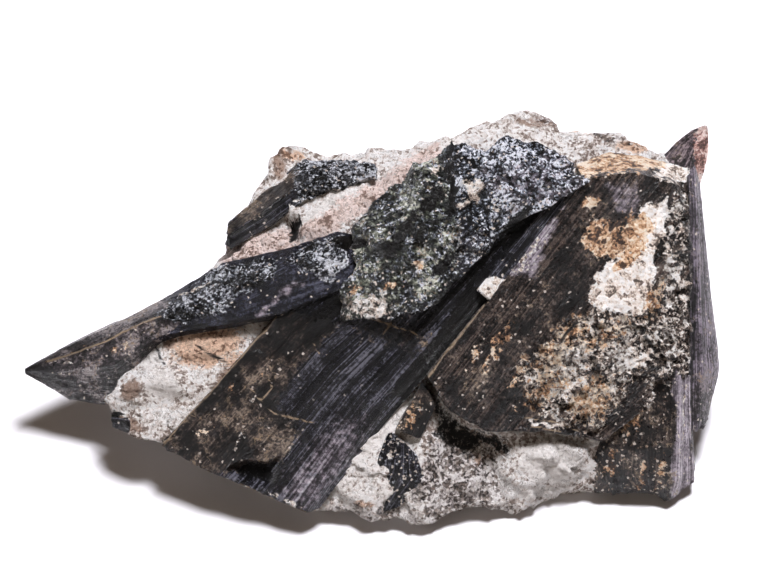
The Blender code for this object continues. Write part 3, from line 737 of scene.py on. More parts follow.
MAIN = [
    (
        [(162, 445, 2.2), (200, 467, 3.7), (250, 487, 4.6), (306, 511, 4.9), (320, 508, 4)],
        (9, 2.6), (10, 4.5),
    ),
    ([(277, 318, 1.6), (308, 345, 3.9), (340, 378, 4.8), (372, 412, 4.7), (381, 429, 3.4)], (10, 6), (8, 8)),
    ([(470, 172, -2), (500, 190, 0.4), (530, 197, 1.4), (566, 190, 1.5), (581, 191, 0.5)], (8, 9), (6, 9)),
]
ROD = [
    ([(472, 287, 2), (482, 295, 4.2), (492, 303, 4.3), (497, 300, 2.8)], (2, 3), (2, 3)),
    ([(553, 192, 1), (560, 196, 3.2), (566, 199, 3.3), (569, 200, 2.2)], (2, 3), (2, 3)),
]
LEFT = [
    ([(23, 370, -6), (24, 371, -5.6), (24.5, 373, -5.7), (24, 374.5, -6.1)], (0.4, 0.1), (0.5, 0.3)),
    ([(75, 342, -5.5), (80, 352, -3.6), (68, 371, -3.8), (68, 400, -6.4)], (3, -0.5), (3, 3)),
    ([(112, 325, -5.6), (112, 336, -2.4), (113, 366, -1.2), (112, 407, -4.6)], (5, -1), (4, 4)),
    ([(165, 297, -6.2), (160, 316, -0.8), (161, 335, 0.8), (163, 347, -3)], (6, 1), (3, 6)),
    ([(222, 263, -4.4), (221, 309, 2.2), (229, 324, 1.8), (232, 329, -2)], (5, 4), (3, 8)),
    ([(285, 249, -2.6), (289, 270, 3.2), (281, 313, 2.5), (288, 317, -1.5)], (5, 5), (3, 8)),
    ([(338, 232, -0.8), (341, 262, 3.3), (345, 287, 2.4), (347, 290, -1)], (3, 5), (2, 6)),
    ([(362, 236, 0), (364, 246, 1.6), (362, 262, 1.2), (361, 266, -0.6)], (1.5, 3), (1.5, 4)),
]
UPPER_LEFT = [
    ([(227, 223, -9.4), (226, 234, -8.2), (229, 249, -9.4)], (3, 3), (4, 4)),
    ([(262, 192, -10.2), (261, 212, -7), (264, 229, -8.2)], (4, 5), (4, 6)),
    ([(303, 158, -11), (304, 179, -6.4), (302, 202, -6.6)], (4, 6), (3, 7)),
    ([(340, 158, -10.4), (345, 173, -6.2), (345, 188, -6.2)], (3, 6), (3, 6)),
    ([(374, 163, -8.8), (378, 168, -7.2), (377, 174, -7.2)], (2, 4), (2, 4)),
]
RIGHT = [
    ([(427, 378, 4.6), (450, 410, 5.4), (487, 431, 5.3), (541, 430, 4.9), (601, 441, 3.4)], (7, 2.5), (8, 5)),
    ([(484, 305, 4.5), (507, 336, 5.8), (544, 357, 5.7), (600, 356, 5), (689, 373, 0.4)], (6, 6), (8, 8)),
    ([(582, 178, 2.8), (633, 173, 2.4), (678, 185, 0.2), (690, 238, 0), (690, 320, 0.3)], (6, 8), (6, 9)),
    ([(577, 164, -3.6), (612, 151, -8.8), (666, 160, -9), (692, 168, -7.6), (692, 250, -6)], (3, 7), (3, 6)),
]
CORNER = [
    ([(622, 395, 0.6), (650, 385, 1.2), (676, 368, 1), (690, 375, -0.8)], (5, 5), (5, 5)),
    ([(597, 449, 1.4), (640, 450, 2.6), (675, 440, 2.4), (692, 432, -0.8)], (6, 3.5), (6, 4)),
    ([(591, 476, 0.6), (640, 478, 1.3), (674, 480, 1.3), (695, 470, -1.4)], (6, 2.4), (7, 3)),
    ([(595, 494, -0.6), (648, 492, -0.3), (669, 500, -0.4), (695, 483, -2)], (5, 1.4), (6, 1.2)),
]
REAR_RIGHT = [
    ([(689, 174, -5.2), (697, 165, -7.6), (702.5, 182, -8.6)], (2, 6), (4, 8)),
    ([(690, 200, -3), (699, 200, -4.6), (704, 200, -7.6)], (3, 6), (5, 8)),
    ([(690, 285, -1.6), (701, 285, -2.6), (712, 283, -6.6)], (3, 5), (6, 6)),
    ([(690, 372, -1.2), (704, 374, -2), (721.5, 368, -6)], (3, 4), (6, 5)),
    ([(692, 431, -1.8), (699, 430, -2.4), (710, 414, -5.6)], (2, 3), (4, 3)),
]
SPIKE = [
    ([(662, 158, -15.2), (690, 172, -11.8), (704, 181, -13.2)], (4, 8), (3, 8)),
    ([(681, 140, -15), (697, 151, -12.8), (712, 153, -14.4)], (3, 3), (2, 3)),
    ([(696, 128.5, -15.4), (705, 133, -14), (712.5, 137, -14.8)], (1.5, 1), (1, 1)),
    ([(709, 124, -15.4), (710.5, 123.5, -15.1), (712, 125, -15.2)], (0.4, 0.1), (0.4, 0.2)),
]
SMALL_BLOCK = [
    ([(396, 428, 4.4), (408, 433, 4.8), (420, 438, 4.2)], (3, 3), (3, 3)),
    ([(421, 385, 3.2), (429, 392, 3.6), (436, 405, 3)], (3, 3), (3, 3)),
]
BURIED = [
    ([(372, 489, 3.9), (384, 511, 3.6), (399, 506, 3.8)], (3, 1.4), (3, 2.2)),
    ([(379, 454, 4.3), (402, 478, 5), (427, 482, 4.2)], (3, 3), (3, 3)),
    ([(388, 433, 4), (403, 440, 4.5), (417, 458, 4.2)], (3, 3), (3, 3)),
]
SPLINTER = [
    ([(111, 421, -1), (113, 424, -0.6), (112, 427, -1.2)], (2, 0.4), (2, 0.4)),
    ([(127, 424, 0.8), (130, 429, 1.1), (128, 433, 0.4)], (3, 0.6), (3, 0.6)),
]


print("corners of the main prism's first ring, in mm:", (station(*MAIN[0]) / MM).round(1).tolist())

# %% [markdown]
# ## Relief of a prism
# Growth steps run the whole length of a face, so their height depends on the place around the prism
# and hardly on the place along it. Chips and pits are lumps and facets added on top. Where a patch is
# granular the steps give way to facets. Every prism starts at its own noise layer, so no two are alike.

# %% Ridges and chips
LEAST_BROKEN = 0.12  # share of facets on a sound face
CHIPS = ((0.0022, 0.6, 5), (0.0009, 0.4, 6))  # m wide, share of the height, layer
FACET_SMALL, FACET_LARGE = 0.0013, 0.0034  # m


def ridges(u, v, layer):
    """Growth steps: noise 0.45 and 1.6 mm wide in u, drawn out along v, plus terraces tanh(5 noise)."""
    still = np.zeros(len(u))
    narrow, broad, terrace = (
        smooth_noise(np.stack([u / across, v / along, still], axis=1), layer + k)
        for k, (across, along) in enumerate(((0.45, 27), (1.6, 70), (2.4, 90)))
    )
    return 0.35 * narrow + 0.55 * broad + 0.5 * np.tanh(5 * terrace)


def make_relief(layer, step, chip, crumbly=None, coarse=0.9):
    """relief = step * ridges + chip * lumps, with facets instead of ridges at the ends and where crumbly."""

    def relief(points, u, v, side):
        lumps = sum(share * smooth_noise(points / wide, layer + k) for wide, share, k in CHIPS)
        grainy = crumbly(picture_place(points)) if crumbly else np.zeros(len(points))
        broken = np.maximum(np.maximum(grainy, 1 - side), LEAST_BROKEN)
        flat = facets(points, FACET_SMALL, layer + 7) * 0.36
        flat += facets(points, FACET_LARGE, layer + 17) * coarse
        ridge = ridges(u, v, layer) * step * (1 - broken)
        return (ridge + chip * lumps + broken * flat) * MM

    return relief


def dress(piece, node, material):
    """The piece takes the material, stands for its CAD node where it has one, and moves with the specimen."""
    piece.data.materials.append(material)
    if node:
        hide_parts(node)
    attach(piece, "root")


# %% [markdown]
# ## Main prism
# The long blue-black prism crosses the middle. Its left part has a brown film with pale cracks, its
# foot is broken into a pit darkened with painted shade, and a thin rod stands on its right edge with a
# broken end painted bright as a painted reflection. More painted shade lies under the blade, along the
# crest's lower border and in the gap beside the right prism, a painted lilac sheen lies on the foot, and
# pale lines along the left border and the lower edge are partly painted highlight.
# Each patch below is a weight and a shape: ellipses, or an outline with the width of its soft edge.

# %% Main prism and rod
MAIN_FILM = [
    (150, 450), (277, 310), (338, 322), (297, 373), (278, 400), (302, 433), (282, 462), (243, 466),
    (215, 478),
]
PIT = [(230, 467), (243, 462), (268, 464), (279, 458), (272, 483), (252, 484)]
PIT_DEPTH = 1.8  # mm
MAIN_PAINT = {
    "film": patch((1, MAIN_FILM, 7), (0.5, [(385, 332, 40, 16, 0), (420, 350, 20, 40, 40)])),
    "rust": patch((0.42, [(232, 388, 9, 5, 48), (205, 430, 12, 5, 48), (262, 372, 12, 4, 48)])),
    "pale": patch((0.5, [(240, 440, 14, 3, 50), (253, 400, 8, 3, 60), (285, 498, 22, 3, -25)])),
    # Black: painted shade in the pit, under the blade, along the crest's lower border, in the gap beside the
    # right prism and in the hollow under the crest's overhang
    "black": patch(
        (0.75, PIT, 5), (1, [(325, 318, 34, 12, 45)]),
        (0.56, [(430, 330), (500, 200), (590, 180), (500, 300)], 10),
        (1, [(474, 286), (492, 300), (410, 402), (390, 390)], 3),
        (0.9, [(505, 220), (560, 188), (556, 208), (524, 248), (505, 262), (512, 238)], 5),
    ),
    # Lilac: painted lilac sheen on the foot
    "lilac": patch((0.46, [(318, 470, 70, 24, 50)])),
    "specks": patch((0.018, MAIN_FILM, 7), base=0.004),
    # Cracks on the brown film, and pale lines along the left border and the lower front edge that are partly
    # painted highlight
    "crack_and_edge_highlight": [
        [(250, 387), (262, 402), (273, 412), (287, 416), (313, 422)],
        [(267, 373), (272, 387), (263, 400)],
        [(240, 484), (262, 494), (285, 503), (306, 511)],
        [(312, 343), (319, 353)],
        [(162, 445), (277, 318)],
        [(345, 300), (372, 318), (410, 331), (428, 345)],
        [(386, 305), (392, 322), (384, 334)],
    ],
    # Groove: painted shade in the gap between the main and the right prism
    "groove": [[(500, 290), (430, 372), (381, 429)]],
}
sound_relief = make_relief(40, 0.30, 0.07, patch((0.25, MAIN_FILM, 8)))


def main_relief(points, u, v, side):
    """Usual relief, minus up to PIT_DEPTH in the pit."""
    return sound_relief(points, u, v, side) - PIT_DEPTH * MM * area(picture_place(points), PIT, 3) * side


dress(prism("main_prism", MAIN, main_relief, MAIN_PAINT), "main_crystal", black)

ROD_END = [(476, 290), (490, 274), (507, 284), (500, 308), (484, 302)]
# The pale broken end of the rod is a painted reflection
ROD_PAINT = {"pale": patch((1, ROD_END, 2)), "specks": 0.03}
dress(prism("main_prism_rod", ROD, make_relief(60, 0.25, 0.04), ROD_PAINT), None, black)

# %% [markdown]
# ## Left blade
# The blade narrows to the sharp left tip. Its lower face is smooth and mirrors the light as a bluish
# sheen with one streak of painted lilac sheen, its left end has a brown film, and two stretches are broken
# granular. Painted shade runs along its lower edge, and a pale line on its ridge is partly painted highlight.

# %% Left blade
left_grains = patch(
    (1, [(155, 318), (172, 300), (215, 266), (284, 258), (262, 283), (226, 308), (188, 322)], 4),
    (1, [(284, 262), (298, 246), (342, 231), (348, 262), (332, 281), (300, 268)], 4),
)
left_crumbs = patch((1, left_grains), (0.25, [(60, 366), (120, 366), (125, 415), (60, 415)], 8))
LEFT_PAINT = {
    "grains": left_grains,
    "film": patch((1, [(20, 340), (160, 290), (185, 322), (160, 340), (105, 412), (20, 412)], 8)),
    # Lilac: one streak of painted lilac sheen
    "lilac": patch((0.5, [(252, 312), (296, 279), (308, 283), (275, 305), (258, 318)], 3)),
    "pale": patch((0.55, [(67, 364, 3, 2, 0), (71, 381, 3, 2, 30), (190, 288, 26, 2, 33)])),
    "rust": patch((0.35, [(120, 345, 20, 5, 25), (75, 352, 14, 4, 25)])),
    # Black: painted shade along the lower edge and in the hollow at the right end
    "black": patch((0.8, [(300, 317, 30, 3, 32), (200, 327, 20, 3, 0), (346, 241, 17, 9, -8)])),
    # A pale line along the ridge, partly painted highlight
    "crack_and_edge_highlight": [[(45, 362), (83, 351), (132, 328), (160, 317)]],
    "specks": 0.03,
}
left = prism("left_blade", LEFT, make_relief(80, 0.08, 0.06, left_crumbs, 0.45), LEFT_PAINT, 0.00042, 0.0003)
dress(left, "left_crystal", blue)

# %% [markdown]
# ## Upper left prism
# A short prism behind the blade: a brown striated band above, a black face below, granular at the right.

# %% Upper left prism
upper_left_grains = patch((1, [(292, 150), (385, 150), (385, 200), (300, 210)], 8))
UPPER_LEFT_PAINT = {
    "grains": upper_left_grains,
    "film": patch((1, [(222, 224), (262, 188), (305, 160), (305, 182), (262, 212), (226, 236)], 4)),
    "pale": patch((0.6, [(338, 190, 10, 2, 10), (300, 201, 8, 2, 15)])),
    "specks": 0.04,
}
upper_left_relief = make_relief(100, 0.22, 0.1, upper_left_grains)
upper_left = prism("upper_left_prism", UPPER_LEFT, upper_left_relief, UPPER_LEFT_PAINT, 0.00045, 0.0003)
dress(upper_left, "upper_left_crystal", black)

# %% [markdown]
# ## Right prism
# The broad weathered prism. Rust sits on its top face and in round spots, a white feldspar coating runs
# down its right side, and its lower right part is speckled pale and dark.

# %% Right prism
RIGHT_TOP = [
    (570, 166), (584, 150), (606, 148), (645, 150), (668, 158), (668, 168), (640, 172), (606, 174),
    (584, 178),
]
RIGHT_TOP_PALE = [(664, 158), (700, 164), (694, 182), (676, 186), (652, 178)]
RIGHT_WHITE = [
    (641, 206), (662, 196), (669, 214), (658, 250), (650, 280), (656, 302), (640, 317), (612, 313),
    (587, 300), (592, 285), (604, 267), (622, 243), (634, 222),
]
RIGHT_SPECKLED = [
    (512, 368), (560, 322), (592, 302), (652, 314), (664, 350), (640, 384), (622, 402), (602, 436),
    (556, 430), (540, 414), (522, 398),
]
RIGHT_COATED = [(664, 190), (692, 186), (692, 420), (640, 440), (650, 320), (660, 250)]
RIGHT_WEDGE = [(504, 273), (563, 205), (549, 240), (532, 277)]
right_coat = patch((1, RIGHT_SPECKLED, 8), (0.9, RIGHT_COATED, 6))
RIGHT_PAINT = {
    "pale": patch(
        (1, RIGHT_WHITE, 5), (0.85, RIGHT_TOP_PALE, 5), (0.42, RIGHT_WEDGE, 4), (0.50, RIGHT_SPECKLED, 14),
        (0.47, RIGHT_COATED, 8),
        (0.75, [(679, 272, 14, 4, 85), (560, 388, 22, 8, 20), (640, 360, 20, 8, 30), (552, 424, 26, 3, -8)]),
    ),
    "rust": patch(
        (1, RIGHT_TOP, 5),
        (1, [
            (603, 238, 19, 18, 0), (635, 238, 26, 14, 60), (585, 405, 16, 12, 20), (622, 262, 10, 6, 45),
            (588, 203, 10, 7, 0),
        ]),
        (0.5, [(497, 348, 44, 9, 62), (520, 372, 24, 8, 50), (470, 360, 20, 6, 50)]),
        (0.56, [
            (560, 345, 46, 18, 45), (605, 335, 34, 16, 30), (545, 388, 34, 16, 40), (592, 398, 34, 24, 60),
            (620, 225, 20, 8, 55), (655, 300, 26, 10, 70),
        ]),
    ),
    "grains": patch((0.62, right_coat)),
    "film": patch((0.22, [(440, 400), (560, 250), (600, 180), (640, 190), (560, 420)], 12), base=0.30),
    # Lilac: painted sheen on a facet of the upper face and on the wedge
    "lilac": patch((0.45, [(606, 184), (640, 184), (640, 217), (612, 206)], 4), (0.8, RIGHT_WEDGE, 4)),
    "specks": patch((0.07, right_coat), base=0.025),
    # Pale lines along the left edge and the lower front edge: worn edges that are partly painted highlight
    "crack_and_edge_highlight": [[(427, 378), (484, 305)], [(524, 417), (551, 420), (578, 431)], [(530, 425), (560, 431)]],
    # Grooves: painted shade along two ledges
    "groove": [[(560, 340), (577, 322)], [(640, 330), (655, 352)]],
}
right_relief = make_relief(120, 0.22, 0.2, right_coat, 1.3)
right = prism("right_prism", RIGHT, right_relief, RIGHT_PAINT, 0.0005, 0.00042)
dress(right, "right_crystal", brown)

# %% [markdown]
# ## Corner and rear prisms
# The corner prism is brown-olive with a light lilac band of painted sheen on its ridge. The long prism along
# the right edge has a lilac-grey bloom, and the spike behind it shows one flesh-red face.

# %% Corner prism
CORNER_PAINT = {
    # Lilac: a band of painted sheen on the ridge
    "lilac": patch((1, [(672, 337), (684, 337), (693, 370), (694, 490), (673, 500), (675, 400)], 3)),
    "rust": patch((0.56, [
        (660, 468, 24, 7, 80), (632, 420, 18, 9, 60), (612, 466, 20, 7, 80), (640, 480, 26, 5, 80),
    ])),
    "pale": patch((0.5, [
        (676, 492, 8, 3, 0), (684, 420, 60, 2, 88), (602, 452, 8, 3, 60), (630, 400, 20, 6, 20),
    ])),
    "film": 0.62, "grains": 0.34, "specks": 0.06,
}
corner = prism("corner_prism", CORNER, make_relief(140, 0.26, 0.16), CORNER_PAINT, 0.0005, 0.0003)
dress(corner, "corner_crystal", brown)

# %% Rear right prism and spike
REAR_RIGHT_PAINT = {
    "film": patch((0.3, [(703, 400, 20, 12, 80)]), base=0.42),
    "black": patch((0.8, [(695, 330, 70, 2, 90)])), "specks": 0.03,
}
rear_relief = make_relief(160, 0.2, 0.06)
rear_right = prism("rear_right_prism", REAR_RIGHT, rear_relief, REAR_RIGHT_PAINT, 0.0006, 0.0003)
dress(rear_right, "rear_right_crystal", purple)

SPIKE_PAINT = {
    "rust": patch((1, [(703, 118), (718, 120), (718, 165), (706, 198), (693, 188), (696, 150)], 3)),
    "film": 0.4, "specks": 0.02,
}
spike = prism("rear_splinter", SPIKE, make_relief(180, 0.12, 0.1), SPIKE_PAINT, 0.0003, 0.0003)
dress(spike, "rear_spike", rusty)

# %% [markdown]
# ## Small prisms
# Two short prisms sit low in the rock, a brown block beside the main prism and a dark one that lies
# flush, and a black splinter sticks out under the left end. All three are small copies of the same
# idea, so the same function makes them from fewer cross-sections.

# %% Small prisms
BLOCK_PAINT = {"film": 0.75, "rust": patch((0.45, [(412, 415, 20, 10, 60)])), "specks": 0.05}
BURIED_PAINT = {
    "pale": patch((0.5, [(390, 450, 12, 5, 60), (380, 492, 12, 4, 80)])), "grains": 0.35, "specks": 0.2,
}
small_block = prism("small_block_skin", SMALL_BLOCK, make_relief(200, 0.1, 0.12), BLOCK_PAINT, 0.0003, 0.0003)
dress(small_block, "small_block", brown)
buried = prism("buried_prism", BURIED, make_relief(210, 0.1, 0.12), BURIED_PAINT, 0.0003, 0.0003)
dress(buried, "buried_crystal", black)
splinter = prism("edge_splinter_skin", SPLINTER, make_relief(220, 0.05, 0.05), ROD_PAINT, 0.0002, 0.0002)
dress(splinter, "edge_splinter", black)

# %% [markdown]
# ## Granular crest
# The crest is a prism broken across. From a step away it is a rugged dark mass with two peaks and an
# overhanging lower border, close up a crowd of grains with bright cleavage faces.

# %% Crest
CREST_RIM = [
    (345, 290, 3.8), (341, 318, 3.6), (364, 322, 5.2), (388, 320, 6.2), (414, 309, 6.6), (440, 299, 6.6),
    (456, 280, 6), (472, 260, 5.4), (490, 240, 5.2), (507, 230, 5.2), (524, 214, 5), (540, 206, 4.9),
    (558, 203, 4.8), (583, 184, 3.2), (575, 166, 0), (547, 149, -1.2), (525, 141, -0.4), (506, 134, 0.6),
    (491, 144, 1.2), (476, 153, 1.4), (460, 143, 0.6), (441, 151, -0.6), (427, 159, -1.2),
    (405, 172, -1.2), (385, 189, -1.2), (368, 212, -0.8), (344, 229, 0.4), (352, 258, 2.6),
]
CREST_FACE = [
    (395, 228, 4.4), (425, 190, 3.8), (452, 182, 2.4), (452, 214, 3.8), (478, 190, 5), (505, 165, 4),
    (530, 172, 4.6), (520, 200, 6), (552, 184, 4.8), (400, 280, 6.2), (440, 245, 6.4), (380, 252, 4.6),
    (470, 228, 6.2), (370, 300, 5), (428, 268, 6.8),
]
CREST_HIDDEN = [
    (356, 290, -4), (400, 270, -4), (445, 230, -5), (500, 200, -5), (560, 180, -5), (530, 158, -9),
    (480, 160, -9), (420, 180, -8), (380, 215, -7),
]
CREST_CENTRE = (455, 225, 0)
CREST_STRETCH = np.array((1.0, 0.75, 0.6))
CREST_GRID = 84  # squares along each side of the cube
CREST_LUMPS = ((0.0046, 0.0010), (0.0024, 0.0008))  # m wide, m high
CREST_FACETS = ((0.0058, 0.95, 300), (0.0024, 0.55, 310), (0.0010, 0.26, 320))  # m wide, mm high, layer
CREST_PAINT = {
    # Grains and film: the lighter right lobe is partly painted light, and the darker greenish left part is
    # partly painted shade
    "grains": patch((0.45, [(455, 150), (590, 130), (590, 200), (500, 232), (455, 215)], 10), base=0.47),
    "film": patch((0.6, [(340, 225), (440, 150), (455, 215), (450, 290), (340, 325)], 14), base=0.35),
    "pale": patch(
        (0.62, [(341, 296), (388, 292), (392, 318), (341, 321)], 6),
        # Pale bits, mostly on the right lobe's flank beside the crease, partly painted highlight
        (0.85, [(470, 191, 15, 7, -65), (438, 171, 6, 4, 0), (462, 206, 7, 4, 30), (479, 183, 9, 3, -60)]),
        (0.42, [(360, 250, 10, 5, 30), (500, 205, 20, 8, 20), (412, 170, 20, 4, 35)]),
    ),
    "rust": patch((0.6, [(390, 286, 12, 6, 20), (356, 288, 9, 5, 0), (420, 262, 8, 4, 0)])),
    # Lilac: painted sheen on the right part
    "lilac": patch((0.30, [(470, 160), (590, 140), (590, 200), (500, 225)], 12)),
    # Black: painted shade in the crease between the peaks and in the hollow under the overhang, and dark
    # streaks
    "black": patch((0.9, [
        (452, 188, 34, 3, 88), (352, 243, 15, 8, 15), (400, 236, 34, 7, 50), (515, 222, 20, 6, 40),
        (430, 200, 22, 6, 40), (445, 262, 20, 6, 40),
    ])),
    "specks": 0.05,
}


def crest_relief(points):
    """Sum of the facets of three sizes."""
    return sum(high * MM * facets(points, wide, layer) for wide, high, layer in CREST_FACETS)


crest_corners = np.array([seen(*corner) for corner in CREST_RIM + CREST_FACE + CREST_HIDDEN])
crest = lump(
    "granular_crest", crest_corners, seen(*CREST_CENTRE), CREST_STRETCH, CREST_GRID, CREST_LUMPS,
    crest_relief, CREST_PAINT,
)
dress(crest, "crest_crystal", granular)

# %% [markdown]
# ## Matrix
# The rock that holds everything. It shows at the lower left, along the front, behind the crest and at
# the back, and its foot is cut off flat.

# %% Matrix
MATRIX_SEEN = [
    (126, 371, -2.4), (146, 347, -2.2), (187, 331, -0.8), (230, 331, -0.4), (276, 321, -1),
    (236, 361, 0.4), (203, 397, 0.9), (176, 380, 1.6), (160, 362, 0.4), (142, 385, 0.5), (113, 398, -1.8),
    (111, 413, -1.2), (130, 432, 0), (152, 441, 0.8), (170, 438, 1), (190, 458, 0.8), (206, 350, 0.9),
    (422, 384, 0.6), (400, 405, 2), (378, 436, 3), (341, 480, 3.2), (322, 507, 2.2), (345, 509, 2.8),
    (375, 516, 2.9), (403, 518, 3.2), (437, 520, 3.4), (458, 513, 2.9), (481, 506, 2.5), (504, 500, 1.4),
    (513, 508, -0.3), (530, 502, 0), (546, 496, 0.2), (562, 489, 0.4), (578, 486, 0.4), (592, 490, -0.4),
    (520, 448, 3.2), (548, 458, 4.4), (576, 452, 3.2), (540, 480, 2.8), (570, 473, 2.6), (505, 478, 2.6),
    (488, 449, 0.6), (452, 428, 0.4), (440, 408, 0.8), (432, 455, 3.8), (470, 482, 3.9), (402, 485, 3.6),
    (360, 492, 3.8), (440, 500, 3.9), (545, 432, 2), (592, 446, 1.2), (588, 470, 0.6), (250, 470, 0.6),
    (310, 500, 0.8), (300, 400, -1), (350, 350, -1.5), (420, 290, -2), (500, 240, -4), (500, 350, 0),
    (560, 300, -1), (620, 350, -1.5), (650, 250, -5), (600, 200, -4), (640, 430, -2.5), (550, 185, -7),
    (700, 300, -9.5), (706, 370, -9.5), (700, 430, -6.5), (688, 478, -4.6), (640, 480, -3),
    (696, 220, -11), (640, 148, -13), (668, 153, -14), (690, 176, -14.5), (599, 133, -15), (562, 120, -17),
    (549, 114, -18), (532, 113, -18), (516, 114, -17.5), (499, 122, -14), (474, 133, -9.5),
    (458, 140, -6.5), (440, 146, -5.5), (408, 156, -6), (382, 163, -8.5), (358, 156, -12),
    (332, 150, -13.5), (315, 148, -13.5), (292, 144, -13), (277, 140, -13), (271, 152, -12),
    (267, 162, -12), (272, 176, -11), (265, 190, -11), (290, 168, -11.5), (610, 148, -12), (560, 132, -14),
    (520, 128, -14), (590, 146, -11), (228, 252, -8.6), (208, 267, -8.8), (250, 246, -6.8),
    (270, 236, -6.2), (293, 231, -8.2), (300, 216, -5.6), (320, 225, -4.4), (340, 205, -4.6),
    (365, 190, -4), (395, 168, -4.5), (428, 153, -3.8), (300, 250, -5),
]
MATRIX_HIDDEN = [  # X, Y from the set-back and Z in mm
    (-40, 12, 8), (-43, 19, 9), (-40, 29, 11), (-34, 37, 13), (-29, 43, 14.5), (-18, 59, 18), (0, 65, 16),
    (24, 71, 15), (42, 67, 13), (54, 58, 12), (58, 42, 8), (57, 26, 5), (-31, 28, 6), (-24, 46, 8),
    (0, 65, 6), (28, 68, 5), (48, 60, 5), (-20, 6, 3), (-28, 12, 5), (-14, 8, -1.5), (-20, 22, -1.5),
    (-16, 40, -1.5), (0, 58, -1.5), (30, 62, -1.5), (48, 50, -1.5), (52, 28, -1.5), (48, 10, -1.5),
    (24, 4, -1.5), (5, 4, -1.5), (16, 30, -1.5),
]
MATRIX_CENTRE = (12, 30, 11)
MATRIX_STRETCH = np.array((1.0, 0.62, 0.36))
MATRIX_LUMPS = ((0.0085, 0.0017), (0.0042, 0.0011), (0.0021, 0.0005))  # m wide, m high
MATRIX_FACETS = ((0.0034, 0.75, 400), (0.0011, 0.28, 410))  # m wide, mm high, layer
MATRIX_GRID = 126  # squares along each side of the cube
# The recess under the right prism's overhang, dug in by RECESS_DEPTH and darkened with painted shade
RECESS = [
    (424, 382), (444, 402), (464, 424), (500, 432), (520, 444), (508, 462), (486, 448), (466, 462),
    (446, 446), (430, 436), (436, 420), (420, 404),
]
RECESS_DEPTH = 1.2  # mm
RECESS_BACK = 0.02  # m, behind which the same picture places lie on the back of the rock
MATRIX_PAINT = {
    "rust": patch((0.9, [
        (207, 345, 38, 22, 12), (238, 362, 10, 10, 0), (635, 145, 20, 7, -8), (586, 128, 16, 5, -10),
        (290, 150, 18, 5, -5), (478, 458, 12, 5, 10), (365, 505, 10, 4, 0),
    ])),
    "pale": patch(
        (1, [
            (163, 384, 18, 16, 30), (258, 326, 18, 5, 20), (196, 404, 36, 4, 48), (385, 430, 60, 7, 48),
            (550, 462, 34, 22, 0), (545, 492, 30, 6, 8), (150, 360, 10, 10, 0), (320, 212, 40, 8, 38),
            (410, 172, 60, 9, 32), (330, 225, 40, 6, 36), (245, 252, 24, 6, 30),
        ]),
        (0.5, [(330, 440), (420, 380), (430, 520), (330, 520)], 8),
    ),
    # Grains: greyer, darker patches below the recess, along the bottom edge and at the back
    "grains": patch(
        (0.55, [(425, 425), (500, 440), (510, 500), (440, 522), (400, 500), (420, 460)], 10),
        (0.46, [(320, 500), (520, 490), (520, 530), (320, 530)], 6),
        (0.5, [(560, 120, 50, 8, -5), (620, 138, 40, 7, -15), (300, 238, 14, 8, 60)]),
    ),
    "film": patch((0.8, [
        (130, 392, 14, 9, 60), (228, 376, 24, 6, 48), (170, 346, 10, 5, 30), (128, 425, 22, 6, -20),
        (276, 160, 8, 22, 20), (545, 120, 40, 6, 0),
    ])),
    "lilac": patch((1, [(215, 235), (300, 225), (440, 140), (440, 165), (330, 235), (220, 285)], 10)),
    # Black: painted shade in the hollow behind the blade, under the blade's left end and in the recess under
    # the right prism
    "black": patch((1, [(295, 228, 13, 5, 80), (115, 416, 6, 3, 0)]), (0.66, RECESS, 9)),
    "specks": patch((0.12, [(410, 440), (520, 440), (520, 525), (330, 525), (340, 500)], 12), base=0.05),
    # Grooves: painted shade in two folds of the rock
    "groove": [[(154, 346), (160, 356), (165, 365)], [(196, 345), (215, 356), (236, 367)]],
}


def matrix_relief(points):
    """Facets of two sizes and fine lumps of 0.8 mm, less RECESS_DEPTH in the recess that painted shade
    darkens.
    """
    rough = sum(high * facets(points, wide, layer) for wide, high, layer in MATRIX_FACETS)
    recess = area(picture_place(points), RECESS, 6) * (points[:, 1] < RECESS_BACK)
    return (rough + 0.16 * smooth_noise(points / 0.0008, 420) - RECESS_DEPTH * recess) * MM


def set_back(x, y, z):
    """Point x, y, z in mm, with y counted from the display plane's foot."""
    return np.array((x * MM, y * MM + SET_BACK, z * MM))


matrix_hidden = [set_back(*corner) for corner in MATRIX_HIDDEN]
matrix_corners = np.array([seen(*corner) for corner in MATRIX_SEEN] + matrix_hidden)
matrix = lump(
    "feldspar_rock", matrix_corners, set_back(*MATRIX_CENTRE), MATRIX_STRETCH, MATRIX_GRID, MATRIX_LUMPS,
    matrix_relief, MATRIX_PAINT, level=0.0,
)
dress(matrix, "matrix_rock", rock)

# %% [markdown]
# ## Floor, light and camera
# The specimen lies on plain white board under one large soft light, a little to the right and behind,
# so its own shadow falls to the lower left. The board is bright enough to burn out to white. A long
# lens looks down at 50 degrees.

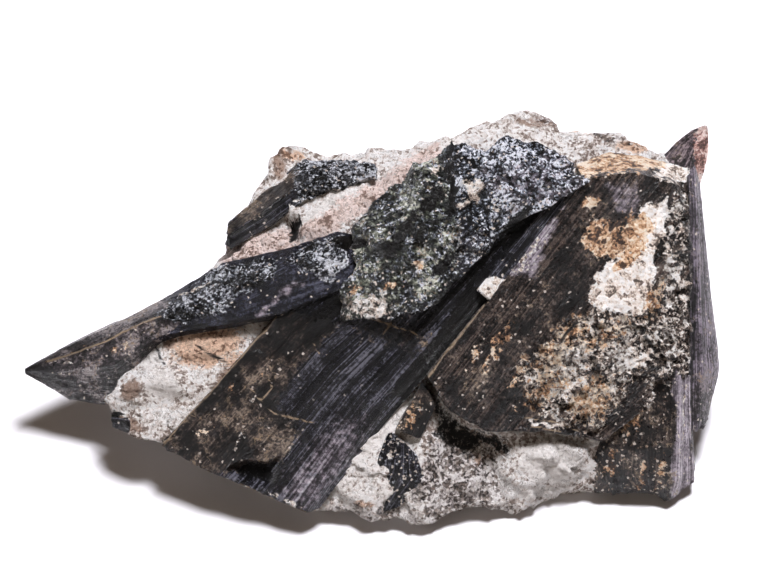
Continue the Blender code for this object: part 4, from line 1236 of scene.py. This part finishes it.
# %% Floor
floor_material, _, floor_shader = new_material("white_board")
floor_shader.inputs["Base Color"].default_value = linear("#d9d9dc")
floor_shader.inputs["Roughness"].default_value = 0.9
floor_mesh = bpy.data.meshes.new("floor")
HALF = 3.0  # m
floor_corners = [(x * HALF, y * HALF, 0) for x, y in ((-1, -1), (1, -1), (1, 1), (-1, 1))]
floor_mesh.from_pydata(floor_corners, [], [(0, 1, 2, 3)])
floor_mesh.materials.append(floor_material)
floor = bpy.data.objects.new("floor", floor_mesh)
bpy.context.scene.collection.objects.link(floor)

# %% Light
SPECIMEN_MIDDLE = (0, 0, 0.02)
ROOM_LIGHT = 0.13  # strength of the warm light from all round


def soft_light(name, place, size, power, colour):
    """Square lamp of side size in m and power in W, at place and facing the specimen."""
    lamp = bpy.data.lights.new(name, "AREA")
    lamp.size = size
    lamp.energy = power
    lamp.color = linear(colour)[:3]
    holder = bpy.data.objects.new(name, lamp)
    holder.location = place
    holder.rotation_euler = (Vector(SPECIMEN_MIDDLE) - Vector(place)).to_track_quat("-Z", "Y").to_euler()
    bpy.context.scene.collection.objects.link(holder)


soft_light("overhead_softbox", (0.16, 0.20, 0.86), 0.26, 17.5, "#fbfaff")
soft_light("front_fill", (-0.25, -1.15, 0.17), 0.6, 5.0, "#fff4ea")
world = bpy.data.worlds.new("studio")
bpy.context.scene.world = world
world.use_nodes = True
world.node_tree.nodes["Background"].inputs["Color"].default_value = linear("#ffe0c2")
world.node_tree.nodes["Background"].inputs["Strength"].default_value = ROOM_LIGHT
print("lamps:", [lamp.name for lamp in bpy.data.lights])

# %% Camera
CAMERA_DISTANCE = 1.1
PICTURE_WIDTH, PICTURE_HEIGHT = 768, 576
SENSOR = 36  # mm
camera_data = bpy.data.cameras.new("camera")
camera_data.sensor_width = SENSOR
camera_data.lens = SENSOR * CAMERA_DISTANCE / (PICTURE_WIDTH * STEP)
camera = bpy.data.objects.new("camera", camera_data)
aim = seen(PICTURE_WIDTH / 2, PICTURE_HEIGHT / 2, 0)
camera.location = Vector(aim) + Vector((0, -math.cos(LEAN), math.sin(LEAN))) * CAMERA_DISTANCE
camera.rotation_euler = (math.pi / 2 - LEAN, 0, 0)
bpy.context.scene.collection.objects.link(camera)
bpy.context.scene.camera = camera
bpy.context.scene.view_settings.view_transform = "Standard"
bpy.context.scene.view_settings.gamma = 0.88
print("lens", round(camera_data.lens), "mm at", CAMERA_DISTANCE, "m")
